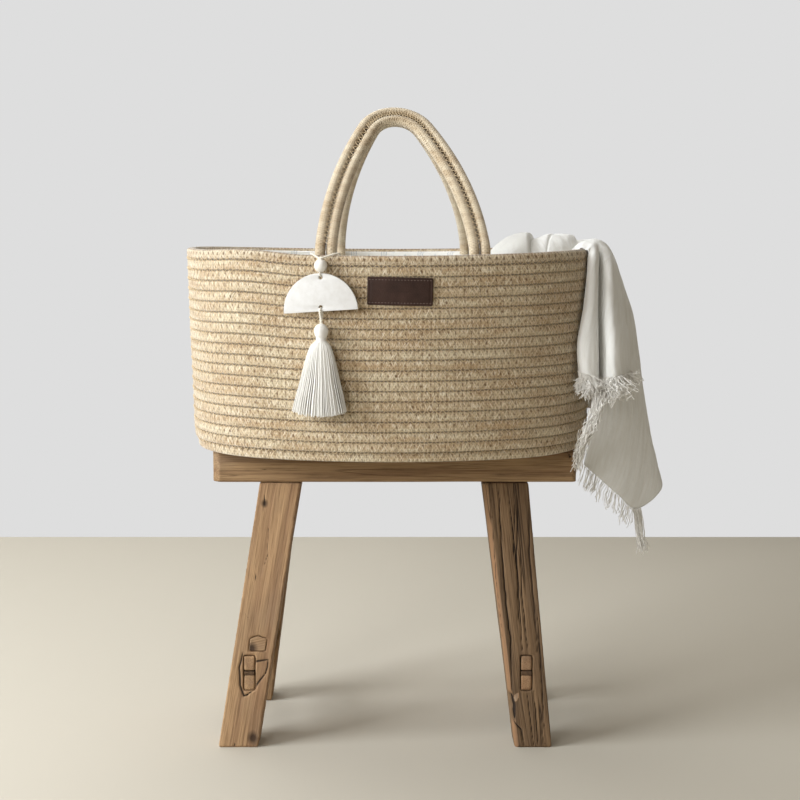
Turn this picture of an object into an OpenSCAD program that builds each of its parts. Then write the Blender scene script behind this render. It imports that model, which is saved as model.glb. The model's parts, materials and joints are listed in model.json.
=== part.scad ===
// Oval coiled-rope bassinet basket with two rope handles, standing on a small wooden stool.
// Millimetres, +Z up, +X to the right, +Y to the rear.
// The origin is on the floor, under the middle of the seat.

/* [Stool] */
// Length of the seat
seat_l = 375; // [360:5:450]
// Depth of the seat
seat_w = 140; // [130:5:180]
// Thickness of the seat
seat_t = 35; // [28:1:40]
// Height of the seat's top above the floor
seat_h = 311; // [280:1:340]
// Bevel on the seat's upright corners
seat_corner = 7; // [3:1:12]
// Chamfer along the seat's top and bottom edges
seat_edge = 2; // [1:0.5:3]
// Depth of a leg, front to rear
leg_depth = 34; // [28:1:40]
// How far a leg's outer face is set in from the seat's edge
leg_inset = 1; // [0:0.5:4]
// How far a foot stands out past the leg's top, front or rear
leg_splay = 21; // [10:1:30]
// Front left leg: middle and width at the seat, middle and width at the floor
leg_front_left_x = [-117.5, 43, -162.5, 41.5]; // [-170:0.5:170]
// Front right leg: middle and width at the seat, middle and width at the floor
leg_front_right_x = [114, 48, 144, 39.5]; // [-170:0.5:170]
// Rear left leg: middle and width at the seat, middle and width at the floor
leg_rear_left_x = [-124.5, 43, -161, 41.5]; // [-170:0.5:170]
// Rear right leg: middle and width at the seat, middle and width at the floor
leg_rear_right_x = [117, 46, 149, 40]; // [-170:0.5:170]
// Height of a side stretcher's lower edge above the floor
stretcher_z = 60; // [40:1:120]
// Height of a side stretcher from its lower to its upper edge
stretcher_h = 36; // [25:1:45]
// Thickness of a side stretcher between the legs
stretcher_t = 22; // [16:1:28]
// Thickness of the through tenons
tenon_t = 11.5; // [8:0.5:14]

/* [Basket] */
// Place of the basket's middle along the seat
basket_x = -4; // [-20:1:20]
// Place of the basket's middle across the seat
basket_y = -20; // [-30:1:30]
// Half of the basket's length at the rim
half_l = 211; // [200:1:230]
// Half of the basket's width at the rim
half_w = 141; // [135:1:150]
// Height of the basket
basket_h = 200; // [180:10:240]
// Diameter of the coiled rope
rope_d = 10; // [10:1:10]
// Radius of the rounded ends of the plan
end_r = 126; // [115:1:132]
// Radius of the rounded bottom edge
bottom_r = 15; // [13:1:18]
// How much narrower each side is above the bottom edge than at the rim
taper = 5; // [2:1:8]
// Thickness of the liner's cloth
liner_t = 1.5; // [1:0.5:2]
// Thickness of the mattress pad
pad_t = 22; // [18:1:22]

/* [Handles] */
// Diameter of a handle's rope strand
strand_d = 10.5; // [9:0.5:11]
// Half of the distance between the outer strand's two feet
handle_half = 79.8; // [70:0.5:85]
// Height of the outer strand's arch in its own plane
handle_h = 173.5; // [160:0.5:176]
// Radius of the arch's top
handle_top_r = 37.8; // [34:0.2:50]
// Radius of the arch's long sides
handle_side_r = 370; // [300:5:500]
// Lean of each handle towards the other
handle_lean = 38; // [36:0.5:38]
// How far the arches' tops are to the left of their feet's middle
apex_shift = 5; // [0:1:8]
// How far the handles are to the right of the basket's middle
handle_shift = 12.5; // [0:0.5:15]
// Height of the handle's fold above the rim
fold_up = 6; // [5.8:0.1:8]
// Length of the sewn-down tails inside the basket
tail_l = 62; // [40:1:80]

/* [Label and charm] */
// Width of the leather label
label_w = 62.6; // [50:0.2:70]
// Height of the leather label
label_h = 26.8; // [20:0.2:30]
// Thickness of the leather label
label_t = 1.8; // [1.2:0.2:2]
// Height of the label's middle above the basket's bottom
label_z = 166.4; // [150:0.2:175]
// Label's middle, to the right of the basket's middle
label_x = 9.9; // [0:0.1:15]
// Diameter of the charm's bead
bead_d = 12.4; // [10:0.2:14]
// Radius of the charm's half-disc plate
plate_r = 36.2; // [30:0.2:38]
// Thickness of the charm's plate
plate_t = 2.4; // [2:0.2:3]
// Turn of the hanging plate in its own plane
plate_tilt = 4; // [0:1:6]
// Diameter of the charm's cord
cord_d = 1.8; // [1.4:0.2:2]
// Widest width of the tassel's skirt
tassel_w = 50; // [40:1:52]
// Depth of the tassel's skirt, wall to front
tassel_depth = 24; // [18:1:26]

/* [Throw] */
// Thickness of the throw's hanging folds
throw_t = 6; // [4:1:8]
// Height of the front folds' hem above the floor
front_hem_z = 385; // [360:5:420]
// Height of the back panel's lowest corner above the floor
back_hem_z = 258; // [230:1:300]
// Length of the fringe
fringe_l = 22; // [10:1:25]

/* [Hidden] */
$fn = 64;

dark_wood = [0.36, 0.26, 0.18];
mid_wood = [0.50, 0.37, 0.25];
pale_wood = [0.62, 0.48, 0.35];
rope_colour = [0.74, 0.64, 0.48];
cloth_white = [0.93, 0.92, 0.89];

gap = 0.2;                          // clearance between neighbouring pieces of one assembly
seat_under = seat_h - seat_t;
half_seat = seat_w / 2;
splay_angle = atan(leg_splay / seat_under);

// The plan is an oval of four arcs: two ends of radius end_r, two sides of radius side_r.
end_c = half_l - end_r;             // middle of an end arc, along X
side_r = (end_c * end_c + half_w * half_w - end_r * end_r) / (2 * (half_w - end_r));
side_c = side_r - half_w;           // middle of a side arc, along Y
side_a = atan(end_c / side_c);      // half the angle of a side arc
end_a = 90 - side_a;                // half the angle of an end arc
wall_top = basket_h - rope_d;       // the wall stops here and the rim row lies on it

// ---------- Shared shapes ----------

function side_y(x, inset) = sqrt(pow(side_r - inset, 2) - x * x) - side_c;

// Distance from the rim's outline in to the wall's outer face, at a height above the bottom edge
function wall_in(z) = taper * (wall_top - z) / (wall_top - bottom_r);

// Carries a 2D profile round the oval: X of the profile is 0 on the rim's outline, Y is height.
// A seam above 0 leaves four panels with a gap of about that width between them.
module oval_sweep(seam = 0) {
    end_gap = seam / end_r * 30;
    side_gap = seam / side_r * 30;
    for (s = [0, 180]) rotate([0, 0, s]) {
        translate([end_c, 0, 0]) rotate([0, 0, -end_a + end_gap])
            rotate_extrude(angle = 2 * (end_a - end_gap)) translate([end_r, 0]) children();
        translate([0, side_c, 0]) rotate([0, 0, 270 - side_a + side_gap])
            rotate_extrude(angle = 2 * (side_a - side_gap)) translate([side_r, 0]) children();
    }
}

// The filled oval, smaller by inset all round
module oval_plan(inset) {
    tangent_x = (side_r - inset) * sin(side_a);
    for (s = [-1, 1]) translate([s * end_c, 0]) circle(end_r - inset);
    intersection() {
        translate([0, side_c]) circle(side_r - inset, $fn = 180);
        translate([0, -side_c]) circle(side_r - inset, $fn = 180);
        square([2 * tangent_x, 2 * half_w], center = true);
    }
}

// Thin pins inside the rope, which tie the four arcs of a ring into one body
module joint_pins(inset, z0, z1) for (s = [-1, 1], m = [-1, 1])
    translate([m * (side_r - inset) * sin(side_a), s * ((side_r - inset) * cos(side_a) - side_c), z0])
        cylinder(h = z1 - z0, r = 2, $fn = 24);

module at_basket() translate([basket_x, basket_y, seat_h]) children();

function mix(a, b, t) = a + (b - a) * t;

function arc_points(cx, cy, r, a0, a1, n) =
    [for (i = [0:n]) [cx + r * cos(a0 + (a1 - a0) * i / n), cy + r * sin(a0 + (a1 - a0) * i / n)]];

function unit(v) = v / norm(v);

// A tube of n sides along a list of points
module tube(points, d, n = 8) {
    last = len(points) - 1;
    tangents = [for (i = [0:last]) unit(points[min(i + 1, last)] - points[max(i - 1, 0)])];
    rings = [for (i = [0:last])
        let (t = tangents[i], u = unit(cross(t, [0.31, 0.17, 0.94])), v = cross(t, u))
        for (k = [0:n - 1]) points[i] + d / 2 * (u * cos(360 * k / n) + v * sin(360 * k / n))];
    sides = [for (i = [0:last - 1], k = [0:n - 1])
        [i * n + k, (i + 1) * n + k, (i + 1) * n + (k + 1) % n, i * n + (k + 1) % n]];
    polyhedron(rings, concat([[for (k = [0:n - 1]) k]], sides,
        [[for (k = [n - 1:-1:0]) last * n + k]]), convexity = 4);
}

// ---------- Stool ----------

// Outer face of the legs at a height, as a distance from the stool's middle plane
function leg_out(z) = half_seat - leg_inset + leg_splay * (seat_under - z) / seat_under;

// A leaning bar: outline in front view, thick in Y, tilted with the leg; s is -1 front, 1 rear
module leaning(outline, thick, s) {
    mid = half_seat - leg_inset - leg_depth / 2 / cos(splay_angle);
    translate([0, s * mid, seat_under]) rotate([s * splay_angle, 0, 0]) rotate([90, 0, 0])
        linear_extrude(thick, center = true) polygon(outline);
}

// Trapezoid from above the seat's underside to below the floor, measured from the seat's underside
function leg_outline(l) = let (slope = (l[2] - l[0]) / seat_under, grow = (l[3] - l[1]) / seat_under)
    [for (p = [[-1, 20], [1, 20], [1, -seat_under - 20], [-1, -seat_under - 20]])
        [l[0] - slope * p[1] + p[0] * (l[1] - grow * p[1]) / 2, p[1]]];

// Tenon that stands up from a leg into the seat; extra widens it for the mortise
function tenon_outline(l, extra) = let (slope = (l[2] - l[0]) / seat_under, half = 13 + extra)
    [for (p = [[-1, seat_t + 10], [1, seat_t + 10], [1, -10], [-1, -10]])
        [l[0] - slope * p[1] + p[0] * half, p[1]]];

module leg_tenon(l, s, extra) leaning(tenon_outline(l, extra), 18 + 2 * extra, s);

module slab(z0, z1) translate([-300, -200, z0]) cube([600, 400, z1 - z0]);

// Through tenon of a side stretcher, with its ends cut flush with the slanting legs
module stretcher_tenon(x, extra) {
    z0 = stretcher_z - extra;
    z1 = stretcher_z + stretcher_h + extra;
    reach = extra > 0 ? 5 : 0;
    translate([x, 0, 0]) rotate([90, 0, 90]) linear_extrude(tenon_t + 2 * extra, center = true)
        polygon([[-leg_out(z0) - reach, z0], [leg_out(z0) + reach, z0],
            [leg_out(z1) + reach, z1], [-leg_out(z1) - reach, z1]]);
}

// The kerf in a tenon's end, a wedge-shaped slot seen from the side
module stretcher_kerf(x, s, extra) {
    z = stretcher_z + stretcher_h / 2;
    y = leg_out(z) + 1;
    translate([x, 0, 0]) rotate([90, 0, 90]) linear_extrude(tenon_t + 2 * extra, center = true)
        polygon([[s * (y + extra), z - 2.4 - extra], [s * (y + extra), z + 2.4 + extra],
            [s * (y - 16 - extra), z + 0.6 + extra], [s * (y - 16 - extra), z - 0.6 - extra]]);
}

stretcher_left_x = -150.5;
stretcher_right_x = 137;

module leg(l, s, stretcher_x) {
    difference() {
        union() {
            intersection() {
                leaning(leg_outline(l), leg_depth, s);
                slab(0, seat_under);
            }
            intersection() {
                leg_tenon(l, s, 0);
                slab(seat_under - 1, seat_h);
            }
        }
        stretcher_tenon(stretcher_x, 0.1);
        seat_kerf(l, s, 0);
    }
}

// Slot across the top of a leg's tenon, for its wedge
module seat_kerf(l, s, trim) {
    slope = (l[0] - l[2]) / seat_under;
    x = l[0] + slope * seat_t;
    y = s * (half_seat - leg_inset - leg_depth / 2 - seat_t * leg_splay / seat_under);
    translate([x, y, 0]) rotate([90, 0, 0]) linear_extrude(24 - 2 * trim, center = true)
        polygon([[-2 + trim, seat_h + (trim > 0 ? 0 : 1)], [2 - trim, seat_h + (trim > 0 ? 0 : 1)],
            [0.8 - trim, seat_h - 15], [-0.8 + trim, seat_h - 15]]);
}

module seat_plank() {
    c = seat_corner;
    e = seat_edge;
    l = seat_l / 2;
    w = half_seat;
    color(mid_wood) difference() {
        intersection() {
            translate([0, 0, seat_under]) linear_extrude(seat_t)
                polygon([[-l + c, -w], [l - c / 2, -w], [l, -w + c / 2], [l, w - c / 2], [l - c / 2, w],
                    [-l + c, w], [-l, w - c], [-l, -w + c]]);
            rotate([90, 0, 90]) linear_extrude(seat_l + 2, center = true)
                polygon([[-w, seat_under + e], [-w + e, seat_under], [w - e, seat_under],
                    [w, seat_under + e], [w, seat_h - e], [w - e, seat_h], [-w + e, seat_h],
                    [-w, seat_h - e]]);
        }
        leg_tenon(leg_front_left_x, -1, 0.1);
        leg_tenon(leg_front_right_x, -1, 0.1);
        leg_tenon(leg_rear_left_x, 1, 0.1);
        leg_tenon(leg_rear_right_x, 1, 0.1);
    }
}

module leg_front_left() color(pale_wood) difference() {
    leg(leg_front_left_x, -1, stretcher_left_x);
    patch_block(0.1);
}
module leg_front_right() color(dark_wood) leg(leg_front_right_x, -1, stretcher_right_x);
module leg_rear_left() color(mid_wood) leg(leg_rear_left_x, 1, stretcher_left_x);
module leg_rear_right() color(dark_wood) leg(leg_rear_right_x, 1, stretcher_right_x);

// The repair let into the front left leg's face, above the stretcher's tenon
patch_z = 108;
module patch_block(extra) {
    x = mix(leg_front_left_x[0], leg_front_left_x[2], (seat_under - patch_z) / seat_under);
    translate([x + 3, -leg_out(patch_z), patch_z]) rotate([-splay_angle, 0, 0]) rotate([90, 0, 0])
        linear_extrude(8 + 2 * extra, center = true)
            offset_outline([[-9, -7], [8, -7], [10, 6], [0, 9], [-8, 6]], extra);
}
module offset_outline(points, extra) polygon([for (p = points) p + extra * unit(p)]);

module leg_patch() color(pale_wood) intersection() {
    patch_block(0);
    leaning(leg_outline(leg_front_left_x), leg_depth, -1);
}

module stretcher(x) {
    color(mid_wood) difference() {
        union() {
            stretcher_tenon(x, 0);
            translate([x, 0, 0]) rotate([90, 0, 90]) linear_extrude(stretcher_t, center = true)
                polygon([for (p = [[-1, 0], [1, 0], [1, 1], [-1, 1]])
                    let (z = stretcher_z + p[1] * stretcher_h)
                    [p[0] * (leg_out(z) - leg_depth / cos(splay_angle) - 0.1), z]]);
        }
        for (s = [-1, 1]) stretcher_kerf(x, s, 0.1);
    }
}
module stretcher_left() stretcher(stretcher_left_x);
module stretcher_right() stretcher(stretcher_right_x);

module stretcher_wedges() color(dark_wood) for (x = [stretcher_left_x, stretcher_right_x])
    intersection() {
        union() for (s = [-1, 1]) stretcher_kerf(x, s, -0.05);
        stretcher_tenon(x, 0);
    }

module seat_wedges() color(dark_wood) {
    seat_kerf_in(leg_front_left_x, -1);
    seat_kerf_in(leg_front_right_x, -1);
    seat_kerf_in(leg_rear_left_x, 1);
    seat_kerf_in(leg_rear_right_x, 1);
}
module seat_kerf_in(l, s) intersection() {
    seat_kerf(l, s, 0.1);
    leg_tenon(l, s, -0.1);
}

// ---------- Basket ----------

// Outline of the wall's shell: inset is how far inside the rope's outer face, thick its thickness
function shell_outline(inset, thick, top) = concat(
    arc_points(-taper - bottom_r, bottom_r, bottom_r - inset, -90, 0, 8),
    [[-inset, top], [-inset - thick, top]],
    arc_points(-taper - bottom_r, bottom_r, bottom_r - inset - thick, 0, -90, 8));

module rope_base() color(rope_colour) at_basket()
    linear_extrude(rope_d) oval_plan(taper + bottom_r);

module rope_wall() color(rope_colour) at_basket() {
    oval_sweep() polygon(shell_outline(0, rope_d, wall_top));
    joint_pins(taper + rope_d / 4, bottom_r + 2, wall_top - 1);
}

module rim_row() color(rope_colour) at_basket() {
    oval_sweep() translate([-rope_d / 2, basket_h - rope_d / 2]) circle(rope_d / 2, $fn = 32);
    joint_pins(rope_d / 2, basket_h - rope_d + 1, basket_h - 1);
}

liner_in = rope_d + gap;
module liner() color(cloth_white) at_basket() {
    oval_sweep(seam = gap) polygon(shell_outline(liner_in, liner_t, basket_h - 3));
    translate([0, 0, liner_in]) linear_extrude(liner_t) oval_plan(taper + bottom_r + gap);
}

pad_z = liner_in + liner_t + gap;   // underside of the mattress pad
pad_in = liner_in + liner_t + taper + 2;
pad_step = 4;                       // the pad is smaller up to here, to clear the liner's rounded edge
pad_skin = 1;
module pad(inset) {
    translate([0, 0, pad_z + inset]) linear_extrude(pad_step + 1) oval_plan(pad_in + 4 + inset);
    translate([0, 0, pad_z + pad_step + inset]) linear_extrude(pad_t - pad_step - 2 * inset)
        oval_plan(pad_in + inset);
}
module mattress_cover() color([0.9, 0.89, 0.86]) at_basket() difference() {
    pad(0);
    pad(pad_skin);
}
module mattress_foam() color([0.95, 0.93, 0.8]) at_basket() pad(pad_skin + 0.1);

// ---------- Handles ----------

strand_r = strand_d / 2;
strand_step = strand_d + gap;
fold_z = basket_h + fold_up;
tail_top = fold_z - strand_r - 0.4;
// Where a strand stands inside the liner, as a distance from the basket's middle plane
tail_in = liner_in + liner_t + gap + wall_in(tail_top - tail_l) + strand_r;
function foot_y(x) = side_y(x, tail_in);
foot_left_y = foot_y(handle_shift - handle_half);
foot_right_y = foot_y(handle_shift + handle_half);
handle_turn = atan((foot_left_y - foot_right_y) / (2 * handle_half)); // the fold line follows the wall
handle_mid_y = (foot_left_y + foot_right_y) / 2;

// An arch is a top arc between two long side arcs; this finds the middle of the right side arc,
// which is handle_side_r from the foot and handle_side_r - handle_top_r from the top arc's middle
arch_top_c = [0, handle_h - handle_top_r];
foot_to_top = arch_top_c - [handle_half, 0];
foot_span = norm(foot_to_top);
top_reach = handle_side_r - handle_top_r;
along = (handle_side_r * handle_side_r - top_reach * top_reach + foot_span * foot_span) / (2 * foot_span);
aside = sqrt(handle_side_r * handle_side_r - along * along);
arch_side_c = [handle_half, 0] + along * unit(foot_to_top)
    + aside * unit([-foot_to_top[1], foot_to_top[0]]);
meet_a = atan((arch_top_c[1] - arch_side_c[1]) / (arch_top_c[0] - arch_side_c[0]));

// Moves its children from a handle's own plane to the basket: X along the fold, Y up the arch
module on_handle(s) at_basket()
    translate([handle_shift, s * handle_mid_y, fold_z]) rotate([0, 0, -s * handle_turn])
        rotate([90 + s * handle_lean, 0, 0]) children();

// The middle line of one strand, in the handle's own plane; inset is its distance inside the outer one
function half_arch(inset) = concat(
    arc_points(arch_side_c[0], arch_side_c[1], handle_side_r - inset,
        asin(-arch_side_c[1] / (handle_side_r - inset)), meet_a, 12),
    [for (a = [meet_a + 8:(90 - meet_a - 8) / 4:90])
        arch_top_c + (handle_top_r - inset) * [cos(a), sin(a)]]);
function arch_line(inset) = let (right = half_arch(inset), n = len(right))
    concat(right, [for (i = [n - 2:-1:0]) [-right[i][0], right[i][1]]]);
module strand(s, inset) on_handle(s)
    tube([for (p = arch_line(inset)) [p[0] - apex_shift * pow(p[1] / handle_h, 2), p[1], 0]], strand_d, 16);

module front_handle_outer() color(rope_colour) strand(-1, 0);
module front_handle_inner() color(rope_colour) strand(-1, strand_step);
module rear_handle_outer() color(rope_colour) strand(1, 0);
module rear_handle_inner() color(rope_colour) strand(1, strand_step);

// The sewn-down ends below the fold
module tails(s) color(rope_colour) at_basket()
    for (m = [-1, 1], inset = [0, strand_step]) {
        x = m * (handle_half - inset);
        translate([handle_shift + x * cos(handle_turn), s * (handle_mid_y - x * sin(handle_turn)),
            tail_top - tail_l]) cylinder(h = tail_l, r = strand_r);
    }
module front_handle_tails() tails(-1);
module rear_handle_tails() tails(1);

// ---------- Label and charm ----------

module leather_label() color([0.28, 0.19, 0.15]) at_basket() {
    z0 = label_z - label_h / 2;
    z1 = label_z + label_h / 2;
    r0 = side_r - wall_in(z0) + 0.1;
    r1 = side_r - wall_in(z1) + 0.1;
    a0 = asin((label_x - label_w / 2) / side_r);
    a1 = asin((label_x + label_w / 2) / side_r);
    translate([0, side_c, 0]) rotate([0, 0, 270 + a0]) rotate_extrude(angle = a1 - a0)
        polygon([[r0, z0], [r0 + label_t, z0], [r1 + label_t, z1], [r1, z1]]);
}

charm_x = -64.2;                    // charm, from the basket's middle
charm_a = asin(charm_x / side_r);   // the wall's turn there
charm_y = -6.8;                     // middle of the bead and the plate, out from the rim's outline
charm_top_z = basket_h - 2;         // the charm lifts away from the wall about this height
bead_z = basket_h - 9.1;
top_hole_z = basket_h - 20;
low_hole_z = basket_h - 48.4;
hole_d = 4;
eye_r = 0.5;                        // radius of the cord in the eyes through the plate
eye_w = 2;                          // half of an eye's width
head_z = basket_h - 70.8;
head_d = 13.6;
neck_z = head_z - head_d / 2 + 1;
neck_d = 11;
skirt_z = basket_h - 150.6;

// Moves its children to the charm: X along the wall, Y in towards the basket, Y = 0 on the rim's outline
module at_charm() at_basket()
    translate([0, side_c, 0]) rotate([0, 0, charm_a]) translate([0, -side_r, 0]) children();

// Cord round the front handle's left foot, over the rim to the bead's top
loop_route = [
    [-1.2, -6.8, 198.9], [-5, -4.5, 198.9], [-9, -1.8, 198.8], [-11.5, 0.2, 199.6], [-12.5, 2.5, 201],
    [-13, 5.4, 201.5], [-13, 8.6, 200.8], [-13, 11, 199.2], [-13, 15, 197], [-12.5, 20, 196],
    [-10, 24, 196], [-5, 26.6, 196], [0, 27.9, 196], [6, 28.6, 196], [12, 27.6, 196], [15.6, 22, 196],
    [16, 15, 197], [16, 11, 199.2], [16, 8.6, 200.8], [15.5, 5.4, 201.5], [14.5, 2.5, 201],
    [12.5, 0.2, 199.6], [9, -1.8, 198.8], [5, -4.5, 198.9], [1.2, -6.8, 198.9]
];
module charm_loop() color([0.85, 0.8, 0.7]) at_charm() tube(loop_route, cord_d, 8);

// A narrow closed loop of cord in the plane across the plate, from z0 to z1 between the arcs' middles
module eye(z0, z1) translate([0, charm_y, 0]) {
    for (y = [-eye_w, eye_w]) translate([0, y, z0]) cylinder(h = z1 - z0, r = eye_r, $fn = 24);
    for (end = [[z0, 180], [z1, 0]]) translate([0, 0, end[0]]) rotate([90, 0, 90])
        rotate([0, 0, end[1]]) rotate_extrude(angle = 180) translate([eye_w, 0]) circle(eye_r, $fn = 24);
}

module charm_cord() color([0.85, 0.8, 0.7]) at_charm() {
    eye(top_hole_z + 2.7, bead_z - 1);
    stem_z = bead_z - 1 + eye_w;
    translate([0, charm_y, stem_z]) cylinder(h = charm_top_z - 0.6 - stem_z, d = cord_d);
}

module charm_bead() color([0.95, 0.94, 0.92]) at_charm() translate([0, charm_y, bead_z])
    difference() {
        sphere(d = bead_d);
        cylinder(h = 20, r = eye_w + eye_r + 0.2, center = true, $fn = 32);
    }

module charm_plate() color([0.95, 0.94, 0.92]) at_charm() translate([0, charm_y, 0])
    rotate([90, 0, 0]) linear_extrude(plate_t, center = true) difference() {
        translate([0, low_hole_z - hole_d]) rotate(plate_tilt) intersection() {
            circle(plate_r, $fn = 96);
            translate([-plate_r - 5, 0]) square([2 * plate_r + 10, plate_r + 5]);
        }
        for (z = [top_hole_z, low_hole_z]) translate([0, z]) circle(d = hole_d, $fn = 24);
    }

module tassel_cord() color([0.9, 0.88, 0.84]) at_charm() {
    eye(low_hole_z - 7, low_hole_z - 2.5);
    translate([0, charm_y, head_z + head_d / 2])
        cylinder(h = low_hole_z - 7 - eye_w - head_z - head_d / 2, d = cord_d);
}
module tassel_head() color([0.95, 0.94, 0.92]) at_charm() translate([0, charm_y, head_z]) difference() {
    sphere(d = head_d);
    translate([0, 0, -head_d]) cylinder(h = head_d / 2 + 1, r = head_d);
}
module tassel_binding() color([0.95, 0.94, 0.92]) at_charm()
    translate([0, charm_y, neck_z - 4.8]) cylinder(h = 4.8, d = neck_d);
module tassel_skirt() color([0.95, 0.94, 0.92]) at_charm() hull() {
    translate([0, charm_y, neck_z - 6]) cylinder(h = 1, d = neck_d, $fn = 24);
    translate([0, charm_y - 1.8, skirt_z]) scale([1, tassel_depth / tassel_w, 1])
        cylinder(h = 2, d = tassel_w, $fn = 32);
}

// ---------- Throw ----------

// The throw is set out round the middle of the basket's right end: a is the angle from +X,
// r the distance from that middle. Angles run from the front (negative) to the rear.
function polar(a, r, z) = [basket_x + end_c + r * cos(a), basket_y + r * sin(a), seat_h + z];
throw_in = end_r + 0.8;             // the hanging panels' inner face, upright so that they lift clear

throw_front_a = -36;
throw_split_a = -14;                // the front folds end and the back panel begins here
throw_rear_a = 38;
throw_top_z = basket_h - 7;         // the hanging panels start here, under the folds over the rim
throw_bulge = 23;                   // how far the folds over the rim stand out from the wall
bundle_top = basket_h + 18;

// Folds over the rim, and their ends inside the basket; X is the distance from the end's middle
bundle = [
    [30, 184], [48, 160], [78, 135], [104, 130], [107, 150], [111.5, basket_h + 1], [131, basket_h + 1],
    [131, throw_top_z + 0.2], [end_r + throw_bulge - 1, throw_top_z + 0.2],
    [end_r + throw_bulge, basket_h + 1], [end_r + 15, basket_h + 11], [end_r - 4, bundle_top],
    [90, bundle_top], [60, bundle_top - 4], [38, bundle_top - 12]
];
module throw_folds() color(cloth_white) at_basket() translate([end_c, 0, 0])
    rotate([0, 0, throw_front_a]) rotate_extrude(angle = throw_rear_a - throw_front_a) polygon(bundle);

// A closed sheet between two grids of points, each a list of rows
module sheet(outer, inner) {
    rows = len(outer);
    cols = len(outer[0]);
    n = rows * cols;
    points = concat([for (row = outer) for (p = row) p], [for (row = inner) for (p = row) p]);
    face_pairs = [for (i = [0:rows - 2], j = [0:cols - 2])
        let (a = i * cols + j, b = a + 1, c = a + cols + 1, d = a + cols)
        each [[a, b, c], [a, c, d], [n + c, n + b, n + a], [n + d, n + c, n + a]]];
    ends = [for (i = [0:rows - 2], j = [0, cols - 1])
        let (a = i * cols + j, d = a + cols)
        each (j == 0 ? [[a, d, n + d], [a, n + d, n + a]] : [[d, a, n + a], [d, n + a, n + d]])];
    rims = [for (i = [0, rows - 1], j = [0:cols - 2])
        let (a = i * cols + j, b = a + 1)
        each (i == 0 ? [[b, a, n + a], [b, n + a, n + b]] : [[a, b, n + b], [a, n + b, n + a]])];
    polyhedron(points, concat(face_pairs, ends, rims), convexity = 6);
}

function bump(x, half) = abs(x) < half ? (1 + cos(180 * x / half)) / 2 : 0;

// Two rounded folds that hang side by side, from z0 down to z1; skin is their thickness, or 0 to
// fill them in as far as the wall
function front_r(a) = throw_in + throw_t + 5 * bump(a + 30.5, 6) + 13 * bump(a + 18, 7.5);
module front_sheet(z0, z1, skin) {
    cols = 14;
    rows = 8;
    grid = [for (i = [0:rows]) [for (j = [0:cols])
        [mix(throw_front_a, throw_split_a, j / cols), mix(z0, z1, i / rows)]]];
    sheet([for (row = grid) [for (p = row) polar(p[0], front_r(p[0]), p[1])]],
        [for (row = grid) [for (p = row) polar(p[0], skin > 0 ? front_r(p[0]) - skin : throw_in, p[1])]]);
}
front_hem = front_hem_z - seat_h;
fringe_skin = 3;
module throw_front_panel() color(cloth_white) front_sheet(throw_top_z, front_hem, 0);

// The back panel hangs from the rim in one wide fold whose ridge stands further out lower down
ridge_a = 3;
back_hem = back_hem_z - seat_h;
throw_low_a = throw_split_a - 6;    // its front edge, once it is below the front folds
function left_a(z) = z > front_hem - fringe_l - 25 ? throw_split_a + 1 : throw_low_a;
function ridge_r(z) = end_r + throw_bulge - 2 + 62 * (throw_top_z - z) / (throw_top_z - back_hem);
function back_r(a, z) = let (
    span = a < ridge_a ? ridge_a - throw_low_a : throw_rear_a - ridge_a,
    side = min(1, abs(a - ridge_a) / span))
    mix(ridge_r(z), throw_in + throw_t, pow(side, 1.2));
// Height of the hem along the panel: lowest in front of the ridge, rising to the rear
function hem_z(t) = t < 0.45 ? mix(back_hem + 42, back_hem - 6, t / 0.45)
    : mix(back_hem - 6, back_hem + 100, pow((t - 0.45) / 0.55, 1.6));
// hang is 1 for the panel down to its hem, and 0 for the strip of length drop below the hem
module back_sheet(hang, drop, skin) {
    cols = 18;
    rows = 12;
    grid = [for (i = [0:rows]) [for (j = [0:cols])
        let (t = j / cols, top = hang > 0 ? throw_top_z : hem_z(t) - 0.2,
            z = mix(top, hem_z(t) - drop, i / rows))
        [mix(left_a(z), throw_rear_a, t), z]]];
    sheet([for (row = grid) [for (p = row) polar(p[0], back_r(p[0], p[1]), p[1])]],
        [for (row = grid) [for (p = row) polar(p[0], back_r(p[0], p[1]) - skin, p[1])]]);
}
module throw_back_panel() color(cloth_white) back_sheet(1, 0, throw_t);

module throw_fringe() color(cloth_white) {
    front_sheet(front_hem - 0.2, front_hem - fringe_l, fringe_skin);
    back_sheet(0, fringe_l, fringe_skin);
}

seat_plank();
leg_front_left();
leg_front_right();
leg_rear_left();
leg_rear_right();
leg_patch();
stretcher_left();
stretcher_right();
stretcher_wedges();
seat_wedges();
rope_base();
rope_wall();
rim_row();
liner();
mattress_cover();
mattress_foam();
front_handle_outer();
front_handle_inner();
rear_handle_outer();
rear_handle_inner();
front_handle_tails();
rear_handle_tails();
leather_label();
charm_loop();
charm_cord();
charm_bead();
charm_plate();
tassel_cord();
tassel_head();
tassel_binding();
tassel_skirt();
throw_folds();
throw_front_panel();
throw_back_panel();
throw_fringe();
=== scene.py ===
# %% [markdown]
# # A rope bassinet basket on a small wooden stool
#
# This notebook dresses a CAD model of a coiled-rope basket that stands on a rustic stool. The CAD
# solids say where every part is and how it moves. Here each part gets its real surface: rope that
# is plaited and stitched, weathered planks, a leather label, a hanging charm and a gauze throw.
# Everything is in metres, with +X to the right, +Y to the rear and +Z up.

# %% Load the CAD model
import json
import math

import bmesh
import bpy
import numpy as np
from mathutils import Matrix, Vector, noise

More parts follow.
